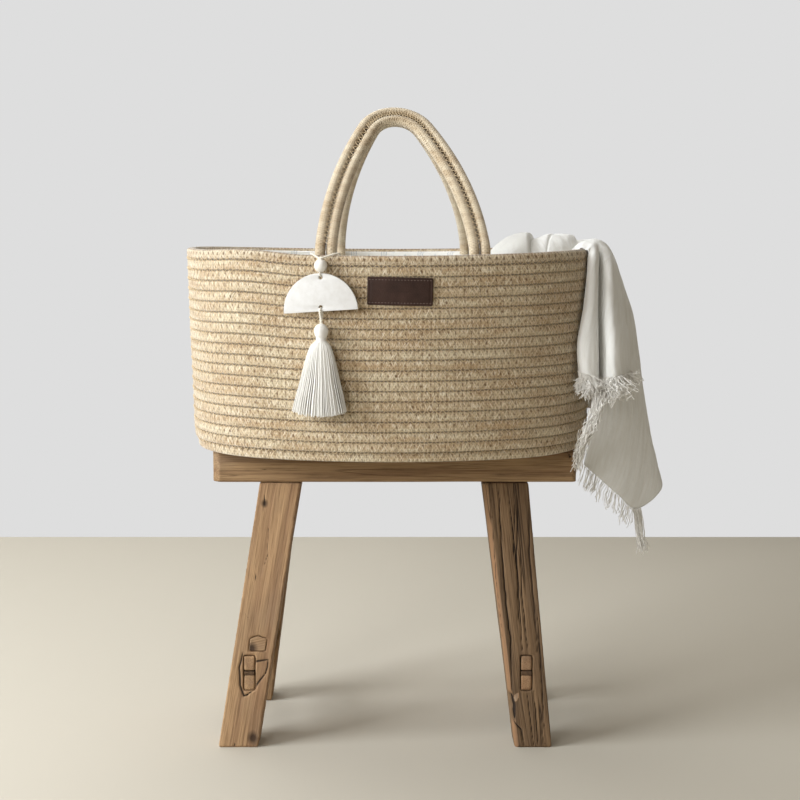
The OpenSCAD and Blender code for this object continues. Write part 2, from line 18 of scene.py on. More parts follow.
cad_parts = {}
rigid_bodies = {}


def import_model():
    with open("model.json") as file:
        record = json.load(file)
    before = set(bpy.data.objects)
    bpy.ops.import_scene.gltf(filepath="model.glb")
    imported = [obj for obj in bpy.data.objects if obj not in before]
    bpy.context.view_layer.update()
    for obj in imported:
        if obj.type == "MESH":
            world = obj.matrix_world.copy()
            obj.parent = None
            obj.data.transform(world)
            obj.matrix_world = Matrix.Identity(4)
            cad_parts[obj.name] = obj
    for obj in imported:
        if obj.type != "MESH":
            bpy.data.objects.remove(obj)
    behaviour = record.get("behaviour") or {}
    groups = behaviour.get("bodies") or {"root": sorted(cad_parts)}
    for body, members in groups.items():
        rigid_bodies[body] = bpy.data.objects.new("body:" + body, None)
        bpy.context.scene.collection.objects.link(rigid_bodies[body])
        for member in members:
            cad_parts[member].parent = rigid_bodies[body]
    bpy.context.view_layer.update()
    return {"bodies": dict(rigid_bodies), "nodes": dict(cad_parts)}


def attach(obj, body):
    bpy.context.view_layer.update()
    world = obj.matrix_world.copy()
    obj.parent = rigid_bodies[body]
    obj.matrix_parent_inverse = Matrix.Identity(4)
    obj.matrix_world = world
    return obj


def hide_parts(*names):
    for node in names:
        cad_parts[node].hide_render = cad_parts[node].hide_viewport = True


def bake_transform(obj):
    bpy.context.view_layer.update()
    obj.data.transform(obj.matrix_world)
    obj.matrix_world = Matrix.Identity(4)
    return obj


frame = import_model()
scene = bpy.context.scene
scene.view_settings.view_transform = "Standard"
rng = np.random.default_rng(7)
print("bodies:", ", ".join(frame["bodies"]))
print("CAD nodes:", len(frame["nodes"]))

# %% [markdown]
# ## Camera
#
# The view is a product view: almost level, a little above the rim, with a long lens so that the
# oval basket keeps its proportions.

# %% Camera
camera = bpy.data.objects.new("camera", bpy.data.cameras.new("camera"))
scene.collection.objects.link(camera)
camera.data.sensor_width = 36.0
camera.data.lens = 65.25
camera.location = (0.0057, -1.539, 0.551)
camera.rotation_euler = (math.radians(90.0 - 7.334), 0.0, 0.0)
scene.camera = camera
print("lens", camera.data.lens, "mm")

# %% [markdown]
# ## Node graphs with little typing
#
# Shaders and Geometry Nodes trees are both made of nodes and links. `colour` turns a hex paint
# value into the linear colour that shaders work in. A `Graph` adds a node and links it in one
# call. What a node gives out is wrapped in a `Value`, so that `a * b + c` adds the Math nodes for
# it: a rule can then be read as a sum and not as a list of links.

# %% Colours and values
def colour(hex_code):
    """Linear RGBA of a paint value such as "c8b08e"."""
    srgb = [int(hex_code[i:i + 2], 16) / 255 for i in (0, 2, 4)]
    return tuple(c / 12.92 if c <= 0.04045 else ((c + 0.055) / 1.055) ** 2.4 for c in srgb) + (1.0,)


class Value:
    """What a node gives out. A sign between two values adds a Math node."""

    def __init__(self, graph, socket):
        self.graph, self.socket = graph, socket


def sign(operation, swapped=False):
    """What a sign does: it adds one Math node. Swapped is for a plain number before the sign."""
    def method(self, *other):
        values = (*other, self) if swapped else (self, *other)
        return self.graph.calc(operation, *values)
    return method


SIGNS = {"add": "ADD", "sub": "SUBTRACT", "mul": "MULTIPLY", "truediv": "DIVIDE", "pow": "POWER",
         "lt": "LESS_THAN", "abs": "ABSOLUTE"}
for name, operation in SIGNS.items():
    setattr(Value, f"__{name}__", sign(operation))
for name in ("sub", "truediv"):
    setattr(Value, f"__r{name}__", sign(SIGNS[name], swapped=True))
print("white paint is", colour("ffffff"))

# %% Graphs
class Graph:
    """Adds nodes to a tree and links them in one call each."""

    def __init__(self, tree):
        self.tree = tree

    def put(self, socket, value):
        """Links a value to a socket, or writes a plain number there."""
        value = getattr(value, "socket", value)
        if isinstance(value, bpy.types.NodeSocket):
            self.tree.links.new(value, socket)
        else:
            socket.default_value = value

    def node(self, kind, links=None, **settings):
        made = self.tree.nodes.new(kind)
        for key, value in settings.items():
            setattr(made, key, value)
        for socket, value in (links or {}).items():
            self.put(made.inputs[socket], value)
        return made

    def get(self, kind, links=None, out=0, **settings):
        """Adds a node and gives one of its outputs."""
        return Value(self, self.node(kind, links, **settings).outputs[out])

    def calc(self, operation, *values):
        return self.get("ShaderNodeMath", dict(enumerate(values)), operation=operation)

    def vector(self, operation, *values):
        return self.get("ShaderNodeVectorMath", dict(enumerate(values)), operation=operation)

    def join(self, x, y, z):
        return self.get("ShaderNodeCombineXYZ", {0: x, 1: y, 2: z})

    def scale(self, value, factor):
        return self.get("ShaderNodeVectorMath", {0: value, "Scale": factor}, operation="SCALE")

    def wave(self, turns):
        """A cosine of a value in turns, from 0 to 1."""
        return self.calc("MULTIPLY_ADD", self.calc("COSINE", turns * (2 * math.pi)), 0.5, 0.5)


print("a graph's calls:", ", ".join(name for name in vars(Graph) if not name.startswith("_")))

# %% [markdown]
# ## Materials
#
# Every finish here is one Principled shader with patterns that are worked out, not pictures. A
# `Finish` keeps the shader at hand: `paint` gives it a colour pattern, `rough` a gloss pattern,
# and each call of `bump` lays a finer relief over the ones before. Patterns read the object's own
# coordinates, or numbers that are stored on the mesh where they have to follow a surface.

# %% Finishes
class Finish(Graph):
    """A material with one Principled shader, and short names for the usual patterns."""

    def __init__(self, name, roughness, **shader):
        self.material = bpy.data.materials.new(name)
        self.material.use_nodes = True
        super().__init__(self.material.node_tree)
        self.shader = self.tree.nodes["Principled BSDF"]
        for label, value in dict(shader, Roughness=roughness).items():
            self.shader.inputs[label.replace("_", " ")].default_value = value
        self.place = self.get("ShaderNodeTexCoord", out="Object")

    def scaled(self, x, y, z):
        return self.get("ShaderNodeMapping", {"Vector": self.place, "Scale": (x, y, z)})

    def noise(self, scale, detail=3.0, vector=None, roughness=0.55):
        return self.get("ShaderNodeTexNoise", {"Vector": vector or self.place, "Scale": scale,
                                               "Detail": detail, "Roughness": roughness}, out="Fac")

    def attribute(self, name):
        return self.get("ShaderNodeAttribute", out="Fac", attribute_name=name)

    def ramp(self, value, start, end):
        """Runs from one (position, grey or colour) to another."""
        made = self.node("ShaderNodeValToRGB", {"Fac": value})
        for stop, (position, code) in zip(made.color_ramp.elements, (start, end)):
            stop.position = position
            stop.color = colour(code) if isinstance(code, str) else (code, code, code, 1.0)
        return Value(self, made.outputs[0])

    def blend(self, factor, low, high):
        made = self.node("ShaderNodeMix", data_type="RGBA")
        for index, value in ((0, factor), (6, low), (7, high)):
            self.put(made.inputs[index], colour(value) if isinstance(value, str) else value)
        return Value(self, made.outputs[2])

    def paint(self, value):
        self.put(self.shader.inputs["Base Color"], value)

    def rough(self, value):
        self.put(self.shader.inputs["Roughness"], value)

    def bump(self, height, distance, strength=1.0):
        normal = self.shader.inputs["Normal"]
        links = {"Height": height, "Distance": distance, "Strength": strength}
        if normal.links:
            links["Normal"] = normal.links[0].from_socket
        self.put(normal, self.get("ShaderNodeBump", links))


def yarn_finish(name, low, high, patches, fibres, roughness, sheen):
    """Spun yarn: two near tones in patches, and a fine relief of fibres."""
    f = Finish(name, roughness, Sheen_Weight=sheen)
    f.paint(f.blend(f.noise(patches), low, high))
    f.bump(f.noise(fibres), 0.0002)
    return f.material


thread = yarn_finish("stitching thread", "c3a880", "e2cfab", 300.0, 1500.0, 0.7, 0.2)
print("first finish:", thread.name)

# %% [markdown]
# ## Meshes
#
# Shapes that follow a rule are worked out as arrays of points first, and `new_piece` makes an
# object of them. `finished` applies what the modifiers make. `place` says which body a piece
# rides on and which CAD solids it stands for, and hides those solids.

# %% New pieces
def add_object(name, data):
    made = bpy.data.objects.new(name, data)
    scene.collection.objects.link(made)
    return made


def new_piece(name, points, faces, material=None, smooth=True):
    """A mesh object from lists of points and faces."""
    mesh = bpy.data.meshes.new(name)
    mesh.from_pydata([tuple(map(float, p)) for p in points], [], [tuple(map(int, f)) for f in faces])
    mesh.validate()
    if smooth:
        mesh.shade_smooth()
    if material:
        mesh.materials.append(material)
    return add_object(name, mesh)


def grid_faces(rows, cols, closed=False, capped=False):
    """Faces of a grid of rows x cols points; closed joins its sides, capped fills both end rows."""
    last = cols if closed else cols - 1
    faces = [(i * cols + j, i * cols + (j + 1) % cols, (i + 1) * cols + (j + 1) % cols, (i + 1) * cols + j)
             for i in range(rows - 1) for j in range(last)]
    if capped:
        faces += [tuple(range(cols)), tuple(range(cols * (rows - 1), cols * rows))]
    return faces


print("a closed band of 2 x 4 points has", len(grid_faces(2, 4, closed=True)), "faces")

# %% Values on a piece, and where it belongs
def corners(piece):
    """A piece's points as an array."""
    return np.array([v.co for v in piece.data.vertices])


def attribute(piece, name, values):
    """Stores a number or a vector for each point, for a material or a tree to read."""
    values = np.asarray(values, np.float32)
    kind, key = ("FLOAT", "value") if values.ndim == 1 else ("FLOAT_VECTOR", "vector")
    made = piece.data.attributes.new(name, kind, "POINT")
    made.data.foreach_set(key, values.ravel())


def finished(piece):
    """Applies a piece's modifiers."""
    graph = bpy.context.evaluated_depsgraph_get()
    mesh = bpy.data.meshes.new_from_object(piece.evaluated_get(graph), depsgraph=graph,
                                           preserve_all_data_layers=True)
    piece.modifiers.clear()
    piece.data = mesh
    mesh.name = piece.name
    return piece


def thickened(piece, thickness):
    """Gives a sheet its thickness, half of it on each side."""
    solid = piece.modifiers.new("thickness", "SOLIDIFY")
    solid.thickness, solid.offset = thickness, 0.0
    return finished(piece)


def outward(piece):
    """Merges doubles and turns the faces outwards."""
    bm = bmesh.new()
    bm.from_mesh(piece.data)
    bmesh.ops.remove_doubles(bm, verts=bm.verts, dist=1e-6)
    bmesh.ops.recalc_face_normals(bm, faces=bm.faces)
    bm.to_mesh(piece.data)
    bm.free()
    return piece


def place(piece, body, slot, *nodes):
    """The piece rides on a body and stands for some CAD nodes, which it hides; slot is not used."""
    if nodes:
        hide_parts(*nodes)
    if body:
        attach(piece, body)
    print(f"{piece.name}: {len(piece.data.polygons)} faces, on {body}")
    return piece


# %% [markdown]
# ## The stage
#
# A pale floor meets a pale wall in one straight line, which keeps the attention on the basket.
# Three soft lamps light it: a large one at the left, as from a window, a small one from the front
# and one from above. A weak warm fill from the world keeps the shadows open. Camera and glossy
# rays see the wall as plain pale paint that needs no light of its own. The wall is clear from
# behind, so that the object can be looked at from every side.

# %% Floor and wall
MATT = dict(roughness=0.95, Specular_IOR_Level=0.1)
PALE_GLOW = colour("dedede")
STAGE_SIDE, STAGE_FRONT, WALL_Y, WALL_TOP = 3, -2.5, 0.9, 2.6

wall_finish = Finish("backdrop pale", Base_Color=colour("e2e2e2"), **MATT)
rays = wall_finish.node("ShaderNodeLightPath").outputs
mirrored = wall_finish.calc("MAXIMUM", rays["Is Glossy Ray"], rays["Is Transmission Ray"])
seen = wall_finish.calc("MAXIMUM", rays["Is Camera Ray"], mirrored)
glow = wall_finish.get("ShaderNodeEmission", {"Color": PALE_GLOW, "Strength": 1.0})
mixed = wall_finish.get("ShaderNodeMixShader", {0: seen, 1: wall_finish.shader.outputs[0], 2: glow})
behind = wall_finish.get("ShaderNodeNewGeometry", out="Backfacing")
clear = wall_finish.get("ShaderNodeBsdfTransparent")
mixed = wall_finish.get("ShaderNodeMixShader", {0: behind, 1: mixed, 2: clear})
wall_finish.put(wall_finish.tree.nodes["Material Output"].inputs[0], mixed)
floor_finish = Finish("floor pale", Base_Color=colour("c3bdb0"), **MATT)

edge = [(-STAGE_SIDE, WALL_Y, 0), (STAGE_SIDE, WALL_Y, 0)]
floor = new_piece("floor", [(-STAGE_SIDE, STAGE_FRONT, 0), (STAGE_SIDE, STAGE_FRONT, 0)] + edge[::-1],
                  [(0, 1, 2, 3)], floor_finish.material, smooth=False)
backdrop = new_piece("backdrop", edge + [(STAGE_SIDE, WALL_Y, WALL_TOP), (-STAGE_SIDE, WALL_Y, WALL_TOP)],
                     [(0, 1, 2, 3)], wall_finish.material, smooth=False)
print("stage pieces:", floor.name, backdrop.name)

# %% Lamps and fill
LIT_SPOT = (0.0, 0.0, 0.4)


def lamp(name, location, size, power, tint=(1.0, 1.0, 1.0)):
    """A square soft lamp that faces the middle of the object."""
    light = bpy.data.lights.new(name, "AREA")
    light.size, light.energy, light.color = size, power, tint
    made = add_object(name, light)
    made.location = location
    made.rotation_euler = (Vector(LIT_SPOT) - Vector(location)).to_track_quat("-Z", "Y").to_euler()


lamp("window light", (-1.75, -0.70, 1.10), 1.0, 50.0, (0.92, 0.96, 1.0))
lamp("front light", (-0.85, -1.60, 0.95), 0.7, 9.0)
lamp("top light", (-0.4, 0.35, 1.9), 1.2, 10.0)

world = bpy.data.worlds.new("soft fill")
scene.world = world
world.use_nodes = True
sky = Graph(world.node_tree)
fill = sky.get("ShaderNodeBackground", {"Color": (1.0, 0.89, 0.72, 1.0), "Strength": 0.27})
pale = sky.get("ShaderNodeBackground", {"Color": PALE_GLOW, "Strength": 1.0})
camera_ray = sky.get("ShaderNodeLightPath", out="Is Camera Ray")
both = sky.get("ShaderNodeMixShader", {0: camera_ray, 1: fill, 2: pale})
sky.put(world.node_tree.nodes["World Output"].inputs[0], both)
print("lamps:", ", ".join(made.name for made in scene.objects if made.type == "LIGHT"))

# %% [markdown]
# ## The oval
#
# The basket's plan is an oval of four arcs, two at the ends and two along the sides. `oval_ring`
# walks round it at an even pace, some way inside the rim's outline, and starts at the rear, where
# a pattern's join is least seen. The rope rises a little towards both ends, as it does on a basket
# that is carried by its middle, and has a slight shoulder at the front left.

# %% Points on the oval
SEAT_TOP = 0.311
MIDDLE = np.array([-0.004, -0.020])
HALF_L, HALF_W, END_R = 0.211, 0.141, 0.126
END_C = HALF_L - END_R
SIDE_R = (END_C ** 2 + HALF_W ** 2 - END_R ** 2) / (2 * (HALF_W - END_R))
SIDE_C = SIDE_R - HALF_W
SIDE_A = math.atan(END_C / SIDE_C)
BASKET_H = 0.200
ROPE_D = 0.010
TAPER, TAPER_TOP, TAPER_HIGH = 0.005, 0.190, 0.175
END_RISE, SHOULDER_RISE = 0.0055, 0.0034
SHOULDER_X, SHOULDER_LONG, SHOULDER_DEEP = -0.078, 0.122, 0.09


def oval_ring(inset, count, start=0.0):
    """Points, outward normals and lengths along the oval; start is where it begins, in turns."""
    end, side = END_R - inset, SIDE_R - inset
    quarter = math.pi / 2
    end_a = quarter - SIDE_A
    arcs = [((0, -SIDE_C), side, quarter, SIDE_A), ((-END_C, 0), end, quarter + SIDE_A, 2 * end_a),
            ((0, SIDE_C), side, 3 * quarter - SIDE_A, 2 * SIDE_A), ((END_C, 0), end, -end_a, 2 * end_a),
            ((0, -SIDE_C), side, quarter - SIDE_A, SIDE_A)]
    lengths = np.array([radius * span for _, radius, _, span in arcs])
    whole = lengths.sum()
    along = (np.arange(count) / count + start) % 1.0 * whole
    points, normals = np.zeros((count, 2)), np.zeros((count, 2))
    begun = 0.0
    for (centre, radius, angle, _), length in zip(arcs, lengths):
        inside = (along >= begun - 1e-12) & (along < begun + length + 1e-12)
        turn = angle + (along[inside] - begun) / radius
        normals[inside] = np.stack([np.cos(turn), np.sin(turn)], 1)
        points[inside] = np.array(centre) + radius * normals[inside]
        begun += length
    return points, normals, np.arange(count) / count * whole


def wall_inset(height):
    """Distance of the wall's outer face inside the rim's outline."""
    return TAPER * np.clip((TAPER_TOP - height) / TAPER_HIGH, 0, 1)


def in_basket(points, height):
    """Points in the basket's own plan, carried to the row frame at a height above the seat."""
    points = np.asarray(points, float)
    share = np.clip(height / BASKET_H, 0, 1.1)
    ends = END_RISE * (np.abs(points[:, 0]) / HALF_L) ** 2 * share
    shoulder = np.sin(np.clip((SHOULDER_X - points[:, 0]) / SHOULDER_LONG, 0, 1) * math.pi) ** 2
    shoulder *= SHOULDER_RISE * np.clip(-points[:, 1] / SHOULDER_DEEP, 0, 1) * share
    return np.column_stack([points + MIDDLE, SEAT_TOP + height + ends + shoulder])


def turned(x, y, angle):
    """x and y after a turn about the origin."""
    return math.cos(angle) * x - math.sin(angle) * y, math.sin(angle) * x + math.cos(angle) * y


print(f"side arc radius {SIDE_R:.3f} m, rim {oval_ring(0, 400)[2][-1]:.3f} m round")

# %% [markdown]
# ## Rope by Geometry Nodes
#
# A rope is a path with a round section that carries a pattern. One Geometry Nodes tree makes every
# rope here. It turns a line of edges into a curve, sweeps a slightly squared circle along it, and
# stores where each point lies along and around the rope. A rule on those values sinks a dimple
# wherever the stitching pulls the rope in, and raises the plaited yarns, so the relief is real
# and not only painted. The same values reach the shader, which paints shade into the dimples.
#
# Every tree starts with named inputs for its sizes and ends in Realize Instances and Set Material.
# `run_tree` sets the inputs, takes the result as a plain mesh and drops the modifier. The thread
# tree is the shortest: it sweeps a thin round thread along any path.

# %% Trees
def geometry_tree(name, **sizes):
    """An empty tree with the named sizes and a material as inputs, and the graph that fills it."""
    tree = bpy.data.node_groups.new(name, "GeometryNodeTree")
    tree.interface.new_socket("Geometry", in_out="INPUT", socket_type="NodeSocketGeometry")
    for label, value in sizes.items():
        kind = "NodeSocketInt" if isinstance(value, int) else "NodeSocketFloat"
        made = tree.interface.new_socket(label.replace("_", " "), in_out="INPUT", socket_type=kind)
        made.default_value = value
    tree.interface.new_socket("Material", in_out="INPUT", socket_type="NodeSocketMaterial")
    tree.interface.new_socket("Geometry", in_out="OUTPUT", socket_type="NodeSocketGeometry")
    graph = Graph(tree)
    outputs = graph.node("NodeGroupInput").outputs
    return graph, {socket.name: Value(graph, socket) for socket in outputs}


def end_tree(graph, given, geometry):
    """Realize Instances, Set Material and the output."""
    real = graph.get("GeometryNodeRealizeInstances", {0: geometry})
    dressed = graph.get("GeometryNodeSetMaterial", {"Geometry": real, "Material": given["Material"]})
    graph.node("NodeGroupOutput", {0: dressed})
    return graph.tree


def swept(graph, path, profile):
    """A profile drawn along a path, with closed ends and smooth faces."""
    tube = graph.get("GeometryNodeCurveToMesh",
                     {"Curve": path, "Profile Curve": profile, "Fill Caps": True})
    return graph.get("GeometryNodeSetShadeSmooth", {0: tube})


def store(graph, geometry, name, value):
    return graph.get("GeometryNodeStoreNamedAttribute",
                     {"Geometry": geometry, "Name": name, "Value": value}, data_type="FLOAT")


def stored(graph, name, kind="FLOAT"):
    return graph.get("GeometryNodeInputNamedAttribute", {"Name": name}, data_type=kind)


def thin_tube(g, given, path):
    """Ends a tree with a plain round thread along a path."""
    sizes = {"Resolution": given["Sides"], "Radius": given["Radius"]}
    return end_tree(g, given, swept(g, path, g.get("GeometryNodeCurvePrimitiveCircle", sizes)))


def thread_tree():
    g, given = geometry_tree("thin thread", Radius=0.0004, Sides=5)
    path = g.get("GeometryNodeMeshToCurve", {0: given["Geometry"]})
    return thin_tube(g, given, path)


THREAD = thread_tree()
print("thread tree:", len(THREAD.nodes), "nodes")

# %% Running a tree
def run_tree(piece, tree, inputs):
    """Runs a tree on a piece, with its inputs set by their identifiers."""
    modifier = piece.modifiers.new(tree.name, "NODES")
    modifier.node_group = tree
    sockets = {item.name: item.identifier for item in tree.interface.items_tree
               if item.in_out == "INPUT"}
    for label, value in inputs.items():
        modifier[sockets[label.replace("_", " ")]] = value
    return finished(piece)


def grow(name, tree, paths, closed=False, **inputs):
    """Runs a tree on some lines of points."""
    points, edges = [], []
    for path in paths:
        first = len(points)
        points += [tuple(map(float, p)) for p in path]
        edges += [(i, i + 1) for i in range(first, len(points) - 1)]
        if closed:
            edges.append((len(points) - 1, first))
    mesh = bpy.data.meshes.new(name)
    mesh.from_pydata(points, edges, [])
    return run_tree(add_object(name, mesh), tree, inputs)


takes = [item.name for item in THREAD.interface.items_tree if item.in_out == "INPUT"]
print("the thread tree takes:", ", ".join(takes))

# %% The rope tree
DENTS = ((0.0, -0.2, 1.0), (0.5, 0.5, 0.5))     # phase, height on the row, strength
DENT_WANDER, DENT_SHARP, DENT_HIGH = 1.1, 8.0, 0.22


def plait(g, turns, up, side, plaits, around=5.0):
    """Height of a round plait, from -1 to 0: two sets of yarns that wind opposite ways."""
    angle = g.calc("ARCTAN2", up, side) / (2 * math.pi / around)
    along = turns * plaits
    return g.calc("MAXIMUM", g.wave(along + angle), g.wave(along - angle)) - 1.0


def dents(g, turns, up):
    """Depth of the dimples, each a little out of place and of a depth of its own."""
    total = []
    row = stored(g, "row") * 5.3
    for phase, height, strength in DENTS:
        spot = g.join(turns + phase * 37, row, 0.0)
        uneven = g.get("ShaderNodeTexNoise", {"Vector": spot, "Scale": 0.45})
        wander = (uneven - 0.5) * DENT_WANDER
        across = (up - (wander * 0.5 + height)) / DENT_HIGH
        fall = g.calc("EXPONENT", across * across * -1.0)
        beat = g.wave(turns + wander + phase) ** DENT_SHARP
        total.append(beat * ((uneven * (1.1 * strength) + 0.6 * strength) * fall))
    return total[0] + total[1]


def rope_tree():
    g, given = geometry_tree(
        "plaited rope", Radius=0.005, Sides=14, Step=0.0013, Stitches=140.0, Dimple=0.0007, Plaits=0.0,
        Relief=0.0, Squareness=4.5)
    path = g.get("GeometryNodeMeshToCurve", {0: given["Geometry"]})
    path = g.get("GeometryNodeResampleCurve", {"Curve": path, "Length": given["Step"]}, mode="LENGTH")
    path = g.get("GeometryNodeSetCurveNormal", {0: path}, mode="Z_UP")
    factor = g.get("GeometryNodeSplineParameter", out="Factor")
    path = store(g, path, "turns", factor * given["Stitches"])
    path = store(g, path, "row", g.get("GeometryNodeCurveOfPoint"))
    ring = g.get("GeometryNodeCurvePrimitiveCircle", {"Resolution": given["Sides"], "Radius": 1.0})
    spot = g.get("GeometryNodeInputPosition")
    x, y = g.node("ShaderNodeSeparateXYZ", {0: spot}).outputs[:2]
    square = given["Squareness"]
    size = (g.calc("ABSOLUTE", x) ** square + g.calc("ABSOLUTE", y) ** square) ** (1.0 / square)
    ring = store(g, store(g, ring, "side", x), "up", y)
    ring = g.get("GeometryNodeSetPosition",
                 {"Geometry": ring, "Position": g.scale(spot, given["Radius"] / size)})
    rope = swept(g, path, ring)
    turns, up, side = (stored(g, name) for name in ("turns", "up", "side"))
    rope = store(g, rope, "dent", dents(g, turns, up))
    rope = store(g, rope, "plait", plait(g, turns, up, side, given["Plaits"]))
    sink = stored(g, "plait") * given["Relief"] - stored(g, "dent") * given["Dimple"]
    push = g.scale(g.get("GeometryNodeInputNormal"), sink)
    rope = g.get("GeometryNodeSetPosition", {"Geometry": rope, "Offset": push})
    return end_tree(g, given, rope)


ROPE = rope_tree()
print("rope tree:", len(ROPE.nodes), "nodes")

# %% [markdown]
# ## Rope colours
#
# The rope is undyed cotton and jute, so its yarns run from cream to tan. Streaks that lean both
# ways stand for the plaited yarns, and a slow noise changes the tone from one length to the next.
# Shade is painted in as well: into the valleys between the plaited yarns, into the dimples and
# into the seam between two rows. The painted seam shade is darker and paler in turn, twice for each
# stitch, because every stitch closes the seam and it opens again between two stitches. On the
# handles, shade is painted where one rope lies against the other.

# %% Rope finish
def slanted(f, lean):
    """Streaks that lean along the rope: noise on sheared rope coordinates, another for each row."""
    turns, up, side, row = (f.attribute(name) for name in ("turns", "up", "side", "row"))
    return f.noise(1.0, 2.0, f.join((turns + up * lean) * 7.0, up * 0.7 + row * 7.3, side + lean * 9))


def rope_finish(name, dark, mid, pale, plaits, depth, seam=0.8, streaks=1.0):
    f = Finish(name, 0.9, Sheen_Weight=0.5, Sheen_Roughness=0.45, Specular_IOR_Level=0.2)
    dent, turns, up, side = (f.attribute(name) for name in ("dent", "turns", "up", "side"))
    yarns = plait(f, turns, up, side, plaits, around=7.0) + 1.0
    leaning = f.calc("MAXIMUM", slanted(f, 0.33), slanted(f, -0.33))
    body = f.ramp(f.noise(38.0, 4.0, f.scaled(0.6, 0.6, 3.0)), (0.36, mid), (0.64, pale))
    # Painted shade in the valleys between the plaited yarns.
    body = f.blend(f.ramp(yarns, (0.1, 0.3), (0.8, 0.0)), body, dark)
    body = f.blend(f.ramp(leaning, (0.42, 0.45 * streaks), (0.56, 0.0)), body, dark)
    body = f.blend(f.ramp(leaning, (0.57, 0.0), (0.70, 0.7 * streaks)), body, "f5eddc")
    # Painted shade in the seam between two rows, deeper between the stitches.
    beads = f.calc("MULTIPLY_ADD", f.wave(turns * 2.0), 0.7, 0.3)
    seam_shade = f.ramp(abs(up), (0.58, 0.0), (0.84, seam)) * beads
    # Painted shade in the dimples, together with the painted seam shade.
    shade = f.calc("MAXIMUM", f.ramp(dent, (0.12, 0.0), (0.55, 0.8)), seam_shade)
    # Painted shade where a handle rope lies against its partner.
    shade = f.calc("MAXIMUM", shade, f.ramp(f.attribute("join"), (0.15, 0.0), (0.9, 0.8)))
    f.paint(f.blend(shade, body, dark))
    f.bump(yarns, depth)
    f.bump(leaning, 0.0014 * streaks, 0.9)
    f.bump(f.noise(900.0, 2.0), 0.0004, 0.5)
    return f.material


wall_rope = rope_finish("coiled rope", "5c3e1c", "c4aa86", "dacaab", 2.0, 0.0003)
rim_rope = rope_finish("rim rope", "5a3d1d", "c3aa88", "d9c9ad", 2.0, 0.0003)
handle_rope = rope_finish("handle rope", "644a2b", "c3ae8f", "ddcfb4", 1.0, 0.00025, seam=0.0, streaks=0.4)
print("rope finishes:", wall_rope.name, rim_rope.name, handle_rope.name)

# %% [markdown]
# ## The coiled wall
#
# Twenty rows of rope stand on each other. Each row is a ring round the oval, and the lowest turns
# under the basket. Three pieces hold the wall so that none is too heavy, and the rim row is a
# piece of its own.

# %% Wall rows
ROWS = 20
ROW_POINTS = 420
STITCHES = 140
WALL_PIECES = {"wall_rows_low": range(0, 6), "wall_rows_middle": range(6, 13),
               "wall_rows_high": range(13, 19)}


def row_height(row):
    return ROPE_D * (row + 0.5)


def row_inset(row):
    """How far a row's middle line is inside the rim's outline; the two lowest turn under."""
    tuck = {0: 0.0040, 1: 0.0006}.get(row, 0.0)
    return ROPE_D / 2 + float(wall_inset(row_height(row))) + tuck


def row_start(row):
    """Where a row begins, in turns: joins are spread along the rear, whole stitches apart."""
    return round(0.22 * (row * 0.618 % 1.0 - 0.5) * STITCHES) / STITCHES


def row_path(row):
    points, normals, _ = oval_ring(row_inset(row), ROW_POINTS, row_start(row))
    round_turn = np.arange(ROW_POINTS) / ROW_POINTS * 2 * math.pi
    wander = 0.0003 * np.sin(round_turn * (3 + row % 4) + row * 1.7)
    return in_basket(points + normals * wander[:, None], row_height(row))


for name, rows in WALL_PIECES.items():
    rope = grow(name, ROPE, [row_path(row) for row in rows], closed=True, Radius=0.00502, Sides=16,
                Step=0.0014, Stitches=float(STITCHES), Material=wall_rope)
    place(rope, "basket", "rope", "rope_wall")
rim = grow("rim_rope", ROPE, [row_path(ROWS - 1)], closed=True, Radius=0.0051, Sides=20, Step=0.001,
           Stitches=float(STITCHES), Squareness=2.8, Material=rim_rope)
place(rim, "basket", "rim_rope", "rim_row")

# %% [markdown]
# ## The zigzag stitching
#
# A machine sews every row to the one below with a zigzag of cream thread. It dives into the rope
# at each corner and bridges the seam between the corners, so it shows as a row of small V shapes.
# The thread tree makes it, along a path that is worked out corner by corner.

# %% Stitching between the rows
ZIG = 0.0019
DIVE, BRIDGE = 0.0043, 0.0052


def zigzag(step):
    """-1 at one side's corners, +1 at the other's and 0 on the crossings between them."""
    return np.select([step == 0, step == 2], [-1.0, 1.0], 0.0)


def seam_path(row):
    """The zigzag that joins a row to the one above: corner, crossing, corner, crossing."""
    count = 4 * STITCHES
    points, normals, _ = oval_ring((row_inset(row) + row_inset(row + 1)) / 2, count)
    step = np.arange(count) % 4
    out = np.where(step % 2 == 0, DIVE, BRIDGE)
    return in_basket(points + normals * out[:, None], ROPE_D * (row + 1) + ZIG * zigzag(step))


stitches = grow("wall_stitching", THREAD, [seam_path(row) for row in range(ROWS - 1)], closed=True,
                Radius=0.00042, Material=thread)
place(stitches, "basket", "rope")

# %% [markdown]
# ## The coiled base
#
# The same rope winds flat under the basket. Rings follow the oval inwards, and a few straight
# lengths fill the slot that is left in the middle. It is seen only when the basket is lifted, so
# it takes fewer sides and longer steps.

# %% Base coil
BASE_ROPE = dict(Radius=0.005, Sides=10, Step=0.0022, Material=wall_rope)
CORE = ((0.0, 0.090), (0.0095, 0.080), (-0.0095, 0.080), (0.018, 0.045), (-0.018, 0.045))   # y, half length


def flat_path(inset):
    return in_basket(oval_ring(inset, 300)[0], ROPE_D / 2)


def core_path(y, half):
    x = np.linspace(-half, half, 60)
    return in_basket(np.column_stack([x, y * (1 - 0.25 * (x / END_C) ** 2)]), ROPE_D / 2)


base_rings = grow("base_coil", ROPE, [flat_path(0.0238 + ROPE_D * k) for k in range(10)], closed=True,
                  Stitches=90.0, **BASE_ROPE)
base_core = grow("base_core", ROPE, [core_path(y, half) for y, half in CORE], Stitches=18.0, **BASE_ROPE)
place(base_rings, "basket", "rope", "rope_base")
place(base_core, "basket", "rope")

